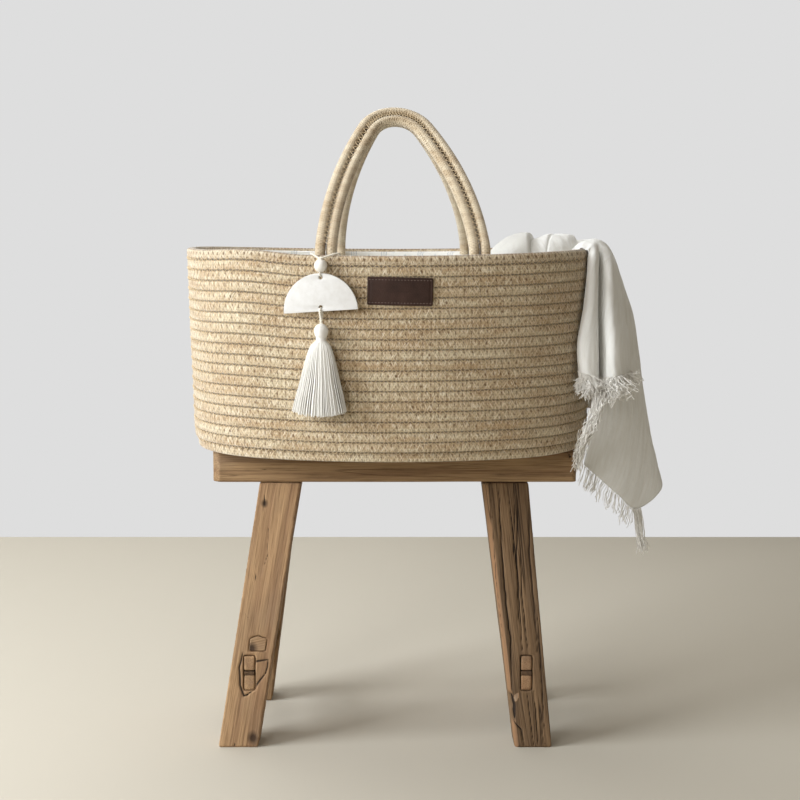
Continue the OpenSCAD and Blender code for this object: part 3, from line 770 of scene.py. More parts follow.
# %% [markdown]
# ## Old wood, the shape
#
# The stool is old building timber: the seat is one plank, the legs are square cut, and the side
# stretchers are tenoned right through them. Each CAD solid is copied, its edges are broken, and a
# voxel remesh gives it an even skin. That skin is then pushed inwards: by a noise drawn out along
# the grain, by wear at the corners, and by the cracks, which are lines drawn on the faces. Every
# point keeps its place along and across the grain, and its distance to the nearest crack, so the
# material can follow the same fibres and cracks.

# %% Distances and noise
FAR = 9.0       # stands for "nowhere near" in the distances to cracks and knots


def line_distance(points, line):
    """Distance in the plane from points to a line of (a, b) corners, and how far along it, 0 to 1."""
    best = np.full(len(points), FAR)
    along = np.zeros(len(points))
    for i, (p, q) in enumerate(zip(line[:-1], line[1:])):
        p, q = np.array(p), np.array(q)
        t = np.clip(((points - p) @ (q - p)) / ((q - p) @ (q - p)), 0, 1)
        far = np.linalg.norm(points - p - t[:, None] * (q - p), axis=1)
        along = np.where(far < best, (i + t) / (len(line) - 1), along)
        best = np.minimum(best, far)
    return best, along


def rough_values(points, scales, seed):
    """Smooth noise at each point, on scaled coordinates."""
    at = points * np.array(scales) + seed
    return np.array([noise.noise(p) for p in at.tolist()])


print("distance and run on a line:", line_distance(np.array([[0.5, 0.1]]), [(0, 0), (1, 0)]))

# %% Worn copies of the solids
def wood_skin(node, edge, voxel):
    """A copy of a CAD solid with broken edges and an even skin."""
    piece = add_object(node + "_wood", bpy.data.objects[node].data.copy())
    piece.data.materials.clear()
    outward(piece)
    bevel = piece.modifiers.new("edges", "BEVEL")
    bevel.width, bevel.segments, bevel.angle_limit = edge, 2, math.radians(25)
    skin = piece.modifiers.new("skin", "REMESH")
    skin.mode, skin.voxel_size = "VOXEL", voxel
    smooth = piece.modifiers.new("smooth", "SMOOTH")
    smooth.factor, smooth.iterations = 0.5, 2
    return finished(piece)


def drawn_cracks(points, local, front, cracks, seed):
    """How deep the cracks go at each point, and the distance to the nearest in crack widths."""
    sink, nearest = np.zeros(len(points)), np.full(len(points), FAR)
    for width, depth, line in cracks:
        bend = 0.0007 * rough_values(local, (0, 0, 90), seed + width * 1e5)
        far, run = line_distance(points[:, [0, 2]] + np.column_stack([bend, bend * 0]), line)
        taper = 0.25 + 0.75 * np.sin(np.pi * np.clip(run, 0.02, 0.98)) ** 0.5
        share = np.where(front, far / (width * taper), FAR)
        sink = sink + depth * np.exp(-share ** 2)
        nearest = np.minimum(nearest, share)
    return sink, nearest


def drawn_knots(points, front, knots):
    """The distance to the nearest knot, in knot radii."""
    nearest = np.full(len(points), FAR)
    for radius, (x, z) in knots:
        far = np.hypot(points[:, 0] - x, (points[:, 2] - z) * 0.8) / radius
        nearest = np.minimum(nearest, np.where(front, far, FAR))
    return nearest


def worn(node, material, slot, grain, voxel=0.0015, edge=0.0018, cracks=(), knots=(), depth=0.0004,
         carve=None):
    """A weathered copy of a CAD solid; grain is the way its fibres run."""
    piece = wood_skin(node, edge, voxel)
    mesh = piece.data
    points = corners(piece)
    normals = np.array([n.vector for n in mesh.vertex_normals])
    along = np.asarray(grain, float) / np.linalg.norm(grain)
    across = np.cross(along, [0, 1, 0] if abs(along[1]) < 0.8 else [1, 0, 0])
    across /= np.linalg.norm(across)
    local = points @ np.column_stack([across, np.cross(along, across), along])
    seed = float(sum(map(ord, node)) % 97)
    fibre = rough_values(local, (170, 170, 9), seed) + 0.6 * rough_values(local, (420, 420, 22), seed + 9)
    slow = rough_values(local, (14, 14, 7), seed + 4)
    front = normals[:, 1] < -0.35
    cracks_deep, crack = drawn_cracks(points, local, front, cracks, seed)
    knot = drawn_knots(points, front, knots)
    sink = depth * (0.8 + 0.7 * fibre) + 0.0005 * np.clip(slow, 0, 1) + cracks_deep
    sink += 0.0005 * np.exp(-knot ** 2)
    sink[(points[:, 2] < 0.0012) & (normals[:, 2] < -0.7)] = 0.0
    points = points - normals * np.clip(sink, 0, None)[:, None]
    if carve:
        points, bare = carve(points)
        attribute(piece, "bare", bare)
    mesh.vertices.foreach_set("co", points.ravel())
    attribute(piece, "grain", local + seed)
    attribute(piece, "crack", np.clip(crack, 0, FAR))
    attribute(piece, "knot", np.clip(knot, 0, FAR))
    mesh.materials.append(material)
    mesh.shade_smooth()
    return place(piece, "stool", slot, node)


# %% [markdown]
# ## Old wood, the finish
#
# One recipe makes all the woods. Long fine streaks follow the fibres, wider bands stand for the
# early and late wood, and a slow noise greys some parts. Small fissures along the grain and the
# drawn cracks are painted nearly black, which is painted shade in them; the knots turn nearly
# black as dark wood. Only the paints and the amount of fissures differ.
# Where a corner has split off, the flat is painted lighter: partly fresh wood and partly painted
# light that the lamps do not give it there. A pale chip shows where the surface was knocked.

# %% Wood finishes
def wood_finish(name, dark, mid, pale, grey, fissures):
    f = Finish(name, 0.78, Specular_IOR_Level=0.3)
    grain = f.get("ShaderNodeAttribute", out="Vector", attribute_name="grain")

    def streaks(x, y, z, detail=4.0):
        scaled = f.get("ShaderNodeMapping", {"Vector": grain, "Scale": (x, y, z)})
        return f.noise(1.0, detail, scaled, roughness=0.62)

    bands, fibres, slow = streaks(120, 120, 3.2), streaks(950, 950, 26, 3.0), streaks(22, 22, 6)
    body = f.ramp(bands, (0.33, mid), (0.62, pale))
    body = f.blend(f.ramp(slow, (0.5, 0.0), (0.72, 0.55)), body, grey)
    body = f.blend(f.ramp(fibres, (0.34, 0.55), (0.56, 0.0)), body, dark)
    body = f.blend(f.ramp(streaks(300, 300, 8), (0.3, 0.4), (0.44, 0.0)), body, dark)
    # Lighter paint on the split flat, partly fresh wood and partly painted light; a pale chip.
    bare = f.attribute("bare")
    body = f.blend(bare * f.ramp(bands, (0.3, 0.45), (0.6, 0.85)), body, "a98260")
    body = f.blend(f.ramp(bare * 0.5, (0.55, 0.0), (0.95, 0.8)), body, "9c8771")
    # Fissures along the grain, painted nearly black as painted shade in them.
    line = f.ramp(abs(streaks(85, 85, 2.6, 1.0) - 0.5), (0.0, 1.0), (0.014, 0.0))
    open_line = line * f.ramp(slow, (0.42, fissures), (0.6, 0.1 * fissures))
    body = f.blend(open_line, body, "2a1d12")
    body = f.blend(f.ramp(f.attribute("knot") * 0.25, (0.16, 0.9), (0.5, 0.0)), body, "33241a")
    # The drawn cracks are painted nearly black: painted shade for a depth the skin does not have.
    crack = f.ramp(f.attribute("crack") * 0.5, (0.28, 1.0), (0.62, 0.0))
    f.paint(f.blend(crack * 0.93, body, "1c130c"))
    f.rough(f.ramp(fibres, (0.3, 0.88), (0.7, 0.7)))
    f.bump(fibres, 0.0005, 0.8)
    f.bump(bands, 0.0008, 0.6)
    f.bump(open_line * -1.0, 0.0008)
    return f.material


seat_wood = wood_finish("seat wood", "533d29", "84664a", "a88a66", "8f7e6a", 0.35)
pale_wood = wood_finish("pale leg wood", "6a5138", "99785a", "b79570", "8c7b68", 0.3)
dark_wood = wood_finish("dark leg wood", "35261a", "66503a", "8a6f52", "6a5a4a", 0.9)
rear_wood = wood_finish("rear leg wood", "513c28", "84674a", "a5855f", "7d6c59", 0.6)
tenon_wood = wood_finish("tenon wood", "5f462f", "8c6b4d", "ab8765", "80705e", 0.2)
wedge_wood = wood_finish("wedge wood", "2e2118", "4e3b2a", "6a523b", "51453a", 0.6)
print("woods:", ", ".join(made.name for made in bpy.data.materials if made.name.endswith("wood")))

# %% [markdown]
# ## The cracks of this stool
#
# A crack is a width, a depth and a line of (x, z) corners on the face it runs down. The dark right
# leg has the most. Its outer front corner has split off along the grain, so `break_corner` cuts a
# flat there and bites a notch out of it near the foot.

# %% Where the wood is cracked
SEAT_CRACKS = [
    (0.0007, 0.0010, [(0.1760, 0.310), (0.1795, 0.305), (0.1800, 0.2995), (0.1835, 0.297)]),
    (0.0006, 0.0009, [(0.1785, 0.306), (0.1820, 0.302)]),
    (0.0005, 0.0007, [(-0.178, 0.2895), (-0.150, 0.2885), (-0.131, 0.2900)]),
    (0.0005, 0.0006, [(0.060, 0.2835), (0.110, 0.2845), (0.176, 0.2830)])]
LEFT_CRACKS = [
    (0.0012, 0.0012, [(-0.1569, 0.1009), (-0.1607, 0.0841), (-0.1603, 0.0654), (-0.1563, 0.0542),
                      (-0.1516, 0.0561)]),
    (0.0012, 0.0010, [(-0.1564, 0.0912), (-0.1449, 0.0901), (-0.1300, 0.0925)]),
    (0.0009, 0.0008, [(-0.1305, 0.0930), (-0.1318, 0.0845), (-0.1345, 0.0760)]),
    (0.0011, 0.0009, [(-0.1335, 0.0785), (-0.1432, 0.0654), (-0.1530, 0.0545)]),
    (0.0006, 0.0006, [(-0.1339, 0.2640), (-0.1345, 0.2440)]),
    (0.0005, 0.0005, [(-0.1295, 0.2363), (-0.1315, 0.2012), (-0.1350, 0.1880)]),
    (0.0006, 0.0006, [(-0.1430, 0.1850), (-0.1440, 0.1720)]),
    (0.0004, 0.0005, [(-0.1560, 0.1420), (-0.1500, 0.1330)]),
    (0.0006, 0.0008, [(-0.1667, 0.0000), (-0.1655, 0.0060)])]
RIGHT_CRACKS = [
    (0.0009, 0.0020, [(0.1068, 0.275), (0.1108, 0.205), (0.1156, 0.149), (0.1204, 0.112), (0.1215, 0.060)]),
    (0.0006, 0.0013, [(0.1160, 0.275), (0.1227, 0.218), (0.1275, 0.175), (0.1277, 0.116)]),
    (0.0006, 0.0012, [(0.1225, 0.273), (0.1239, 0.242), (0.1222, 0.194)]),
    (0.0008, 0.0017, [(0.1280, 0.275), (0.1259, 0.196), (0.1324, 0.103)]),
    (0.0006, 0.0012, [(0.1301, 0.212), (0.1316, 0.160), (0.1389, 0.098)]),
    (0.0008, 0.0015, [(0.1383, 0.275), (0.1390, 0.225), (0.1394, 0.199), (0.1442, 0.149), (0.148, 0.10)]),
    (0.0005, 0.0010, [(0.0995, 0.260), (0.1044, 0.175), (0.1111, 0.112)]),
    (0.0007, 0.0014, [(0.1446, 0.060), (0.1496, 0.001)]),
    (0.0008, 0.0016, [(0.1215, 0.029), (0.1322, 0.0186), (0.1347, 0.001)]),
    (0.0006, 0.0012, [(0.1372, 0.060), (0.1449, 0.001)]),
    (0.0005, 0.0012, [(0.1470, 0.149), (0.1570, 0.0036)]),
    (0.0006, 0.0012, [(0.1503, 0.0505), (0.1551, 0.001)]),
    (0.0030, 0.0020, [(0.1200, 0.055), (0.1232, 0.044), (0.1238, 0.031)])]
LEFT_KNOTS = [(0.0035, (-0.1472, 0.0102)), (0.0022, (-0.1338, 0.2545))]
print("cracks drawn:", len(SEAT_CRACKS) + len(LEFT_CRACKS) + len(RIGHT_CRACKS))

# %% The split corner
SEAT_UNDER = 0.276
SPLIT_WIDE, SPLIT_DEEP = 0.0062, 0.0036
CHIP_X, CHIP_Z, CHIP_R = 0.1262, 0.0525, 0.0026


def break_corner(points):
    """Cuts the flat and its notch, and says where to paint lighter: 1 on the flat, 2 on the chip."""
    x, z = points[:, 0], points[:, 2]
    t = (SEAT_UNDER - z) / SEAT_UNDER
    u = x - (0.090 + 0.03425 * t)
    v = points[:, 1] + 0.069 + 0.021 * t
    short = np.clip(1 - (u / SPLIT_WIDE + v / SPLIT_DEEP), 0, None) * (z < 0.274)
    push = np.array([1 / SPLIT_WIDE, 1 / SPLIT_DEEP]) / (1 / SPLIT_WIDE ** 2 + 1 / SPLIT_DEEP ** 2)
    beside = (v / 0.008) ** 4
    bite = np.exp(-((z - 0.049) / 0.008) ** 4 - (u / 0.0055) ** 4 - beside)
    bite += 0.7 * np.exp(-((z - 0.036) / 0.009) ** 4 - ((u - 0.002) / 0.003) ** 4 - beside)
    points = points.copy()
    points[:, 0] += short * push[0] + 0.0016 * bite
    points[:, 1] += short * push[1] + 0.0040 * np.clip(bite, 0, 1)
    fresh = 0.35 + 0.65 * np.clip((0.262 - z) / 0.06, 0, 1)
    # The flat's lighter paint is partly fresh wood and partly painted light.
    bare = np.clip(short * 5, 0, 1) * np.clip(1 - 1.6 * bite, 0, 1) * fresh
    aside = points[:, 0] - CHIP_X
    chip = np.hypot(aside, (z - CHIP_Z - 0.8 * aside) * 0.62) / CHIP_R
    return points, np.where((chip < 1) & (v < 0.006), 2.0, bare)


edge_moved = break_corner(np.array([[0.1215, -0.086, 0.050]]))[0][0]
print("a point on the corner ends at", np.round(edge_moved, 4))

# %% Seat, legs and stretchers
LEGS = {"leg_front_left": (-0.1175, -0.1625, -1), "leg_front_right": (0.114, 0.144, -1),
        "leg_rear_left": (-0.1245, -0.161, 1), "leg_rear_right": (0.117, 0.149, 1)}


def leg_grain(name):
    top, bottom, side = LEGS[name]
    return (top - bottom, -side * 0.021, SEAT_UNDER)


worn("seat_plank", seat_wood, "seat_wood", (1, 0, 0), voxel=0.0017, edge=0.0022, cracks=SEAT_CRACKS,
     depth=0.0003)
worn("leg_front_left", pale_wood, "leg_pale_wood", leg_grain("leg_front_left"), voxel=0.0012,
     edge=0.0025, cracks=LEFT_CRACKS, knots=LEFT_KNOTS)
worn("leg_front_right", dark_wood, "leg_dark_wood", leg_grain("leg_front_right"), voxel=0.0011,
     edge=0.0016, cracks=RIGHT_CRACKS, carve=break_corner)
for name in ("leg_rear_left", "leg_rear_right"):
    worn(name, rear_wood, "leg_rear_wood", leg_grain(name), voxel=0.0018)
for name, wood in (("stretcher_left", pale_wood), ("stretcher_right", tenon_wood)):
    worn(name, wood, "stretcher_wood", (0, 1, 0.02), voxel=0.0014, edge=0.0008, depth=0.0002)
worn("leg_patch", pale_wood, "patch_wood", (0.9, 0, 0.2), voxel=0.0009, edge=0.0006, depth=0.0002,
     knots=[(0.0036, (-0.1480, 0.1037))])
for name in ("stretcher_wedges", "seat_wedges"):
    worn(name, wedge_wood, "wedge_wood", (0, 0.3, 1), voxel=0.0008, edge=0.0003, depth=0.0002)

# %% [markdown]
# ## The handles
#
# Each handle is two lengths of the same rope, stitched side by side and bent to an arch. Their
# ends run down inside the wall and are sewn there. At the rim the rope bends when the handle is
# folded down, and one piece runs from the tails over the rim to the arch.
# The arch is worked out flat: a small circle at the top meets a large one at each side.

# %% Handle paths
STRAND_D, STRAND_STEP = 0.0105, 0.0107
FOOT_X, ARCH_H, ARCH_LEAN = 0.0798, 0.1735, math.radians(38)
TOP_C, TOP_R, FLANK_R = np.array([0.0, 0.1357]), 0.0378, 0.370
HANDLE_X, HANDLE_Y, HANDLE_TURN = 0.0125, 0.11307, 0.0360694
FOLD_X, FOLD_H = 0.0085, 0.206
TAIL_POINTS, TAIL_STEP = 33, 0.002


def arch(inset, count=90):
    """Half an arch and its mirror image, in the handle's own plane, from foot to foot."""
    foot = np.array([FOOT_X, 0.0])
    away = TOP_C - foot
    span = np.linalg.norm(away)
    along = (FLANK_R ** 2 - (FLANK_R - TOP_R) ** 2 + span ** 2) / (2 * span)
    aside = math.sqrt(FLANK_R ** 2 - along ** 2)
    centre = foot + along * away / span + aside * np.array([-away[1], away[0]]) / span
    meet = math.atan((TOP_C[1] - centre[1]) / (TOP_C[0] - centre[0]))
    flank_r, top_r = FLANK_R - inset, TOP_R - inset
    a = np.linspace(math.asin(-centre[1] / flank_r), meet, count)
    b = np.linspace(meet, math.pi / 2, count // 2)[1:]
    right = np.concatenate([centre + flank_r * np.column_stack([np.cos(a), np.sin(a)]),
                            TOP_C + top_r * np.column_stack([np.cos(b), np.sin(b)])])
    line = np.concatenate([right, (right * [-1, 1])[::-1][1:]])
    line[:, 0] -= 0.005 * (line[:, 1] / ARCH_H) ** 2
    return line


def in_handle(plane, side, lift_off=0.0):
    """Points of the handle's plane, carried to the row frame; lift_off moves them out of the plane."""
    out, up = math.sin(ARCH_LEAN), math.cos(ARCH_LEAN)
    x, y = turned(plane[:, 0], -side * (out * plane[:, 1] - up * lift_off), -side * HANDLE_TURN)
    return np.column_stack([x + HANDLE_X + MIDDLE[0], y + side * HANDLE_Y + MIDDLE[1],
                            up * plane[:, 1] + out * lift_off + FOLD_H + SEAT_TOP])


def eased(points, rounds=6):
    """Rounds a line's corners by averaging neighbours; the ends stay."""
    points = points.copy()
    for _ in range(rounds):
        points[1:-1] = (points[:-2] + 2 * points[1:-1] + points[2:]) / 4
    return points


def strand_path(side, inset):
    """From one tail's end, up over the fold, round the arch and down to the other tail's end."""
    line = in_handle(arch(inset), side)
    down = np.arange(1, TAIL_POINTS + 1)[:, None] * TAIL_STEP
    first, last = (np.column_stack([np.tile(end[:2], (TAIL_POINTS, 1)), end[2] - down])
                   for end in (line[0], line[-1]))
    return eased(np.concatenate([first[::-1], line, last]))


steps = np.diff(strand_path(-1, 0.0), axis=0)
print(f"each handle rope is {np.linalg.norm(steps, axis=1).sum():.3f} m long")

# %% Handle strands and their stitches
def strand(name, side, inset):
    """One rope of the pair; `join` tells the material where to paint the shade of its partner."""
    rope = grow(name, ROPE, [strand_path(side, inset)], Radius=STRAND_D / 2 - 0.0001, Sides=22,
                Step=0.0008, Stitches=190.0, Dimple=0.0, Plaits=1.0, Relief=0.00035, Squareness=2.2,
                Material=handle_rope)
    partner = strand_path(side, STRAND_STEP - inset)
    far = np.array([np.linalg.norm(partner - p, axis=1).min() for p in corners(rope)])
    # `join` is 1 where the partner is close, and the material paints shade there.
    attribute(rope, "join", np.clip(1 - (far - 0.0054) / 0.0045, 0, 1))
    return rope


def strand_stitches(name, side, face):
    """A zigzag between the two ropes, on one face of the handle."""
    line = arch(STRAND_STEP / 2, 96)
    step = np.arange(len(line)) % 4
    ahead = np.gradient(line, axis=0)
    across = np.column_stack([-ahead[:, 1], ahead[:, 0]]) / np.linalg.norm(ahead, axis=1)[:, None]
    line = line + across * (0.0026 * zigzag(step))[:, None]
    off = face * np.where(step % 2 == 0, 0.0043, 0.0035)
    return grow(name, THREAD, [in_handle(line[2:-2], side, off[2:-2])], Radius=0.0004, Material=thread)


for label, side in (("front", -1), ("rear", 1)):
    body = label + "_handle"
    outer = strand(body + "_rope_outer", side, 0.0)
    pieces = [outer, strand(body + "_rope_inner", side, STRAND_STEP)]
    pieces += [strand_stitches(f"{body}_stitches_{where}", side, face)
               for where, face in (("rear", -1), ("front", 1))]
    for piece in pieces:
        place(piece, None, "handle_rope")
        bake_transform(piece)
    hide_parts(body + "_outer", body + "_inner", body + "_tails")

# %% [markdown]
# ## Leather label
#
# The label is a small strip of thick brown leather sewn to the front of the wall. It follows the
# wall's curve, its cut edges are slightly rounded, and its face is left bare. A stack of rounded
# rectangles gives the outline, the worn edge, the line where the seam pulls it in, and the flat
# face. The stitches are one shape repeated along a line, so a third tree makes them: it walks the
# line at an even pitch and lays a stitch along it at every step.

# %% Stitch tree
def stitch_tree():
    g, given = geometry_tree("running stitch", Pitch=0.003, Length=0.002, Radius=0.0004)
    path = g.get("GeometryNodeMeshToCurve", {0: given["Geometry"]})
    path = g.get("GeometryNodeResampleCurve", {"Curve": path, "Length": given["Pitch"]}, mode="LENGTH")
    ball = g.get("GeometryNodeMeshUVSphere", {"Segments": 8, "Rings": 6, "Radius": 1.0})
    ball = g.get("GeometryNodeSetShadeSmooth", {0: ball})
    ahead = g.get("GeometryNodeInputTangent")
    facing = g.get("FunctionNodeAlignRotationToVector", {"Vector": ahead}, axis="X")
    size = g.join(given["Length"] * 0.5, given["Radius"], given["Radius"])
    rows = g.get("GeometryNodeInstanceOnPoints",
                 {"Points": path, "Instance": ball, "Rotation": facing, "Scale": size})
    return end_tree(g, given, rows)


STITCH = stitch_tree()
print("stitch tree:", len(STITCH.nodes), "nodes")

# %% Label shape
LABEL_X, LABEL_Z, LABEL_TILT = 0.0099, 0.1664, math.radians(-1.3)
LABEL_W, LABEL_H, LABEL_CORNER = 0.0626, 0.0268, 0.0016
CORNER_POINTS, SIDE_POINTS = 9, 44
LABEL_RINGS = [(0.0006, 0.0), (0.0, 0.0004), (0.0, 0.0012), (0.00018, 0.0016), (0.0006, 0.0018),
               (0.0018, 0.0018), (0.0024, 0.00155), (0.003, 0.0018), (0.005, 0.0018), (0.008, 0.0018),
               (0.011, 0.0018), (0.0128, 0.0018)]      # inset, height over the wall


def on_front(across, up, depth):
    """Points of the label's plane, wrapped on the front wall; depth is the distance off the wall."""
    across, up = turned(across, up, LABEL_TILT)
    height = LABEL_Z + up
    turn = math.asin(LABEL_X / SIDE_R) + across / SIDE_R
    reach = SIDE_R - wall_inset(height) + 0.0001 + depth
    return np.column_stack([reach * np.sin(turn) + MIDDLE[0], SIDE_C - reach * np.cos(turn) + MIDDLE[1],
                            height + SEAT_TOP])


def rounded(inset):
    """The label's outline as a rounded rectangle, some way inside its edge."""
    a, b, r = LABEL_W / 2 - inset, LABEL_H / 2 - inset, max(LABEL_CORNER - inset, 0.0004)
    points = []
    for quarter, (x, y) in enumerate(((a - r, b - r), (r - a, b - r), (r - a, r - b), (a - r, r - b))):
        turn = np.linspace(0, math.pi / 2, CORNER_POINTS) + quarter * math.pi / 2
        points += list(np.column_stack([x + r * np.cos(turn), y + r * np.sin(turn)]))
    full = []
    for i, p in enumerate(points):
        q = points[(i + 1) % len(points)]
        steps = SIDE_POINTS if i % CORNER_POINTS == CORNER_POINTS - 1 else 1
        full += [p + (q - p) * k / steps for k in range(steps)]
    return np.array(full)


loops = []
for inset, height in LABEL_RINGS:
    flat = rounded(inset)
    warp = np.array([0.00022 * noise.noise(Vector((x * 90, y * 90, 3.0))) for x, y in flat])
    loops.append(on_front(flat[:, 0], flat[:, 1], height + warp))
count = len(loops[0])
faces = grid_faces(len(loops), count, closed=True, capped=True)
print("label outline:", count, "points")

# %% Label leather and seam
leather = Finish("brown leather", 0.62, Specular_IOR_Level=0.25)
hide = leather.noise(900.0, 3.0)
pores = leather.get("ShaderNodeTexVoronoi", {"Vector": leather.place, "Scale": 1300.0}, out="Distance")
tone = leather.ramp(leather.noise(60.0, 4.0), (0.35, 0.0), (0.7, 1.0))
leather.paint(leather.blend(tone, "30201a", "422e27"))
leather.rough(leather.ramp(hide, (0.3, 0.42), (0.7, 0.66)))
leather.bump(hide, 0.00018)
leather.bump(pores, 0.00016, 0.7)
label = outward(new_piece("label_leather", np.concatenate(loops), faces, leather.material))
place(label, "basket", "label_leather", "leather_label")

dull_thread = Finish("label thread", 0.6)
dull_thread.paint(dull_thread.blend(dull_thread.noise(500.0), "5a4741", "7d6a61"))
across = np.linspace(-0.029, 0.029, 60)
lines = [on_front(across, np.full(60, level), 0.0017) for level in (0.0109, -0.0109)]
seam = grow("label_stitches", STITCH, lines, Pitch=0.003, Length=0.0019, Radius=0.0004,
            Material=dull_thread.material)
place(seam, "basket", "label_leather")

# %% [markdown]
# ## The hanging charm
#
# A cream cord goes round the left foot of the front handle, through a wooden bead and through the
# upper hole of a white half-disc. A tassel hangs from the lower hole. The cords are two plies
# twisted together: each ply winds round the cord's middle line, and the thread tree gives it body.

# %% The charm's own frame, and twisted cords
CHARM_A = math.asin(-0.0642 / SIDE_R)
CHARM_Y = -0.0068
PLY_STEPS = 12      # points to each turn of a ply


def in_charm(points):
    """X along the wall, Y into the basket and Z above the seat, all carried to the row frame."""
    points = np.asarray(points, float)
    x, y = turned(points[:, 0], points[:, 1] - SIDE_R, CHARM_A)
    return np.column_stack([x + MIDDLE[0], y + SIDE_C + MIDDLE[1], points[:, 2] + SEAT_TOP])


def circle(sides):
    return np.arange(sides) / sides * 2 * math.pi


def around(radius, turn, height):
    """Points round the charm's upright line."""
    flat = radius * np.cos(turn), CHARM_Y + radius * np.sin(turn), np.broadcast_to(height, turn.shape)
    return in_charm(np.column_stack(flat))


def resampled(points, step):
    """A line's points at an even pace."""
    points = np.asarray(points, float)
    far = np.concatenate([[0], np.cumsum(np.linalg.norm(np.diff(points, axis=0), axis=1))])
    at = np.linspace(0, far[-1], max(int(far[-1] / step), 8) + 1)
    return np.column_stack([np.interp(at, far, points[:, k]) for k in range(3)])


def twisted(points, radius, pitch):
    """The middle lines of two plies that wind round a cord."""
    line = eased(resampled(points, pitch / PLY_STEPS), 40)
    ahead = np.gradient(line, axis=0)
    ahead /= np.linalg.norm(ahead, axis=1)[:, None]
    across = np.zeros_like(line)
    across[0] = np.cross(ahead[0], [0.3, 0.9, 0.31])
    for i in range(1, len(line)):
        across[i] = across[i - 1] - ahead[i] * np.dot(across[i - 1], ahead[i])
        across[i] /= np.linalg.norm(across[i])
    across[0] = across[1]
    aside = np.cross(ahead, across)
    turn = np.arange(len(line)) / PLY_STEPS * 2 * math.pi
    return [line + radius * (np.cos(turn + p)[:, None] * across + np.sin(turn + p)[:, None] * aside)
            for p in (0, math.pi)]


cord_finish = yarn_finish("cream cord", "e6dfd0", "f6f2e8", 500.0, 2600.0, 0.75, 0.3)


def cord(name, routes, body, slot, node, thick=0.0018):
    """A twisted cord along some routes, in millimetres of the charm's frame."""
    plies = [ply for route in routes
             for ply in twisted(np.array(route) / 1000, thick * 0.26, thick * 1.9)]
    made = grow(name, THREAD, [in_charm(ply) for ply in plies], Radius=thick * 0.29, Sides=8,
                Material=cord_finish)
    return place(made, body, slot, node)


print("charm frame turned by", round(math.degrees(CHARM_A), 1), "degrees")

# %% Charm cords
LOOP_ROUTE = [
    [-0.8, -6.8, 197.8], [-6.5, -1.2, 200.2], [-10.6, 2.6, 201.9], [-12.6, 6, 202.3], [-13, 9, 201.4],
    [-13, 11, 199.2], [-13, 15, 197], [-12.5, 20, 196], [-10, 24, 196], [-5, 26.6, 196], [0, 27.9, 196],
    [6, 28.6, 196], [12, 27.6, 196], [15.6, 22, 196], [16, 15, 197], [16, 11, 199.2], [15.6, 8.8, 201.2],
    [14.6, 6, 202.3], [11.6, 2.6, 201.9], [6.8, -1.2, 200.2], [0.8, -6.8, 197.8]]
turns = np.linspace(0, 2.2 * 2 * math.pi, 60)
knot = np.column_stack([2.0 * np.cos(turns), -7.0 + 1.7 * np.sin(turns), np.linspace(198.6, 196.9, 60)])
cord("charm_loop_cord", [LOOP_ROUTE, knot], "basket", "hanging_cord", "charm_loop")
y = CHARM_Y * 1000
upper = [[0, y, 199.0], [0, y, 186.0], [-0.7, y - 1.2, 184.6], [-0.8, y - 2.1, 183], [-0.7, y - 1.9, 181.4],
         [0, y, 180.8], [0.9, y + 1.9, 181.6], [0.9, y + 2.0, 183.2], [0.6, y + 0.6, 184.8], [0.4, y, 186.5]]
cord("charm_hanging_cord", [upper], "charm_hanger", "hanging_cord", "charm_cord")
lower = [[0, y, 134.5], [-0.2, y, 141.5], [-0.6, y - 1.4, 145.5], [-0.7, y - 2.2, 148.5],
         [-0.5, y - 1.9, 150.4], [0, y, 151.0], [0.7, y + 1.9, 150.2], [0.9, y + 2.1, 148.2],
         [0.8, y + 1.2, 145.0], [0.4, y + 0.3, 141.0], [0.3, y, 134.5]]
cord("tassel_hanging_cord", [lower], "tassel", "tassel_thread", "tassel_cord", thick=0.0024)

# %% [markdown]
# ## Bead and half-disc
#
# The bead is turned wood under a thin white wash, with the drilled hole's edges broken. The
# half-disc is cut from a thin white board: a filled flat curve with two holes, given thickness and
# a small bevel, has exactly that shape.

# %% Bead
BEAD_R, HOLE_R, BEAD_Z, BEAD_SIDES = 0.0062, 0.0016, 0.1909, 64

a = np.linspace(-1, 1, 33) * math.acos((HOLE_R + 0.0004) / BEAD_R)
outside = [(BEAD_R * math.cos(t), BEAD_Z + BEAD_R * math.sin(t)) for t in a]
hole_half = outside[-1][1] - BEAD_Z - 0.0003
profile = outside + [(HOLE_R, BEAD_Z + hole_half), (HOLE_R, BEAD_Z), (HOLE_R, BEAD_Z - hole_half), outside[0]]
washed = Finish("white washed wood", 0.5, Coat_Weight=0.15)
wood_rings = washed.noise(60.0, 4.0, washed.scaled(6.0, 6.0, 0.8))
washed.paint(washed.blend(washed.ramp(wood_rings, (0.35, 0.0), (0.75, 1.0)), "f3f0ea", "dfd9ce"))
washed.bump(wood_rings, 0.0003)
rows = [around(r, circle(BEAD_SIDES), z) for r, z in profile]
faces = grid_faces(len(rows), BEAD_SIDES, closed=True)
bead = outward(new_piece("bead_wood", np.concatenate(rows), faces, washed.material))
place(bead, "charm_hanger", "bead_wood", "charm_bead")

# %% Half-disc
PLATE_R, PLATE_T, PLATE_Z, PLATE_TILT = 0.0362, 0.0024, 0.1476, math.radians(4)
PLATE_HOLES, PLATE_HOLE_R, SOFT_EDGE = (0.180, 0.1516), 0.002, 0.00035

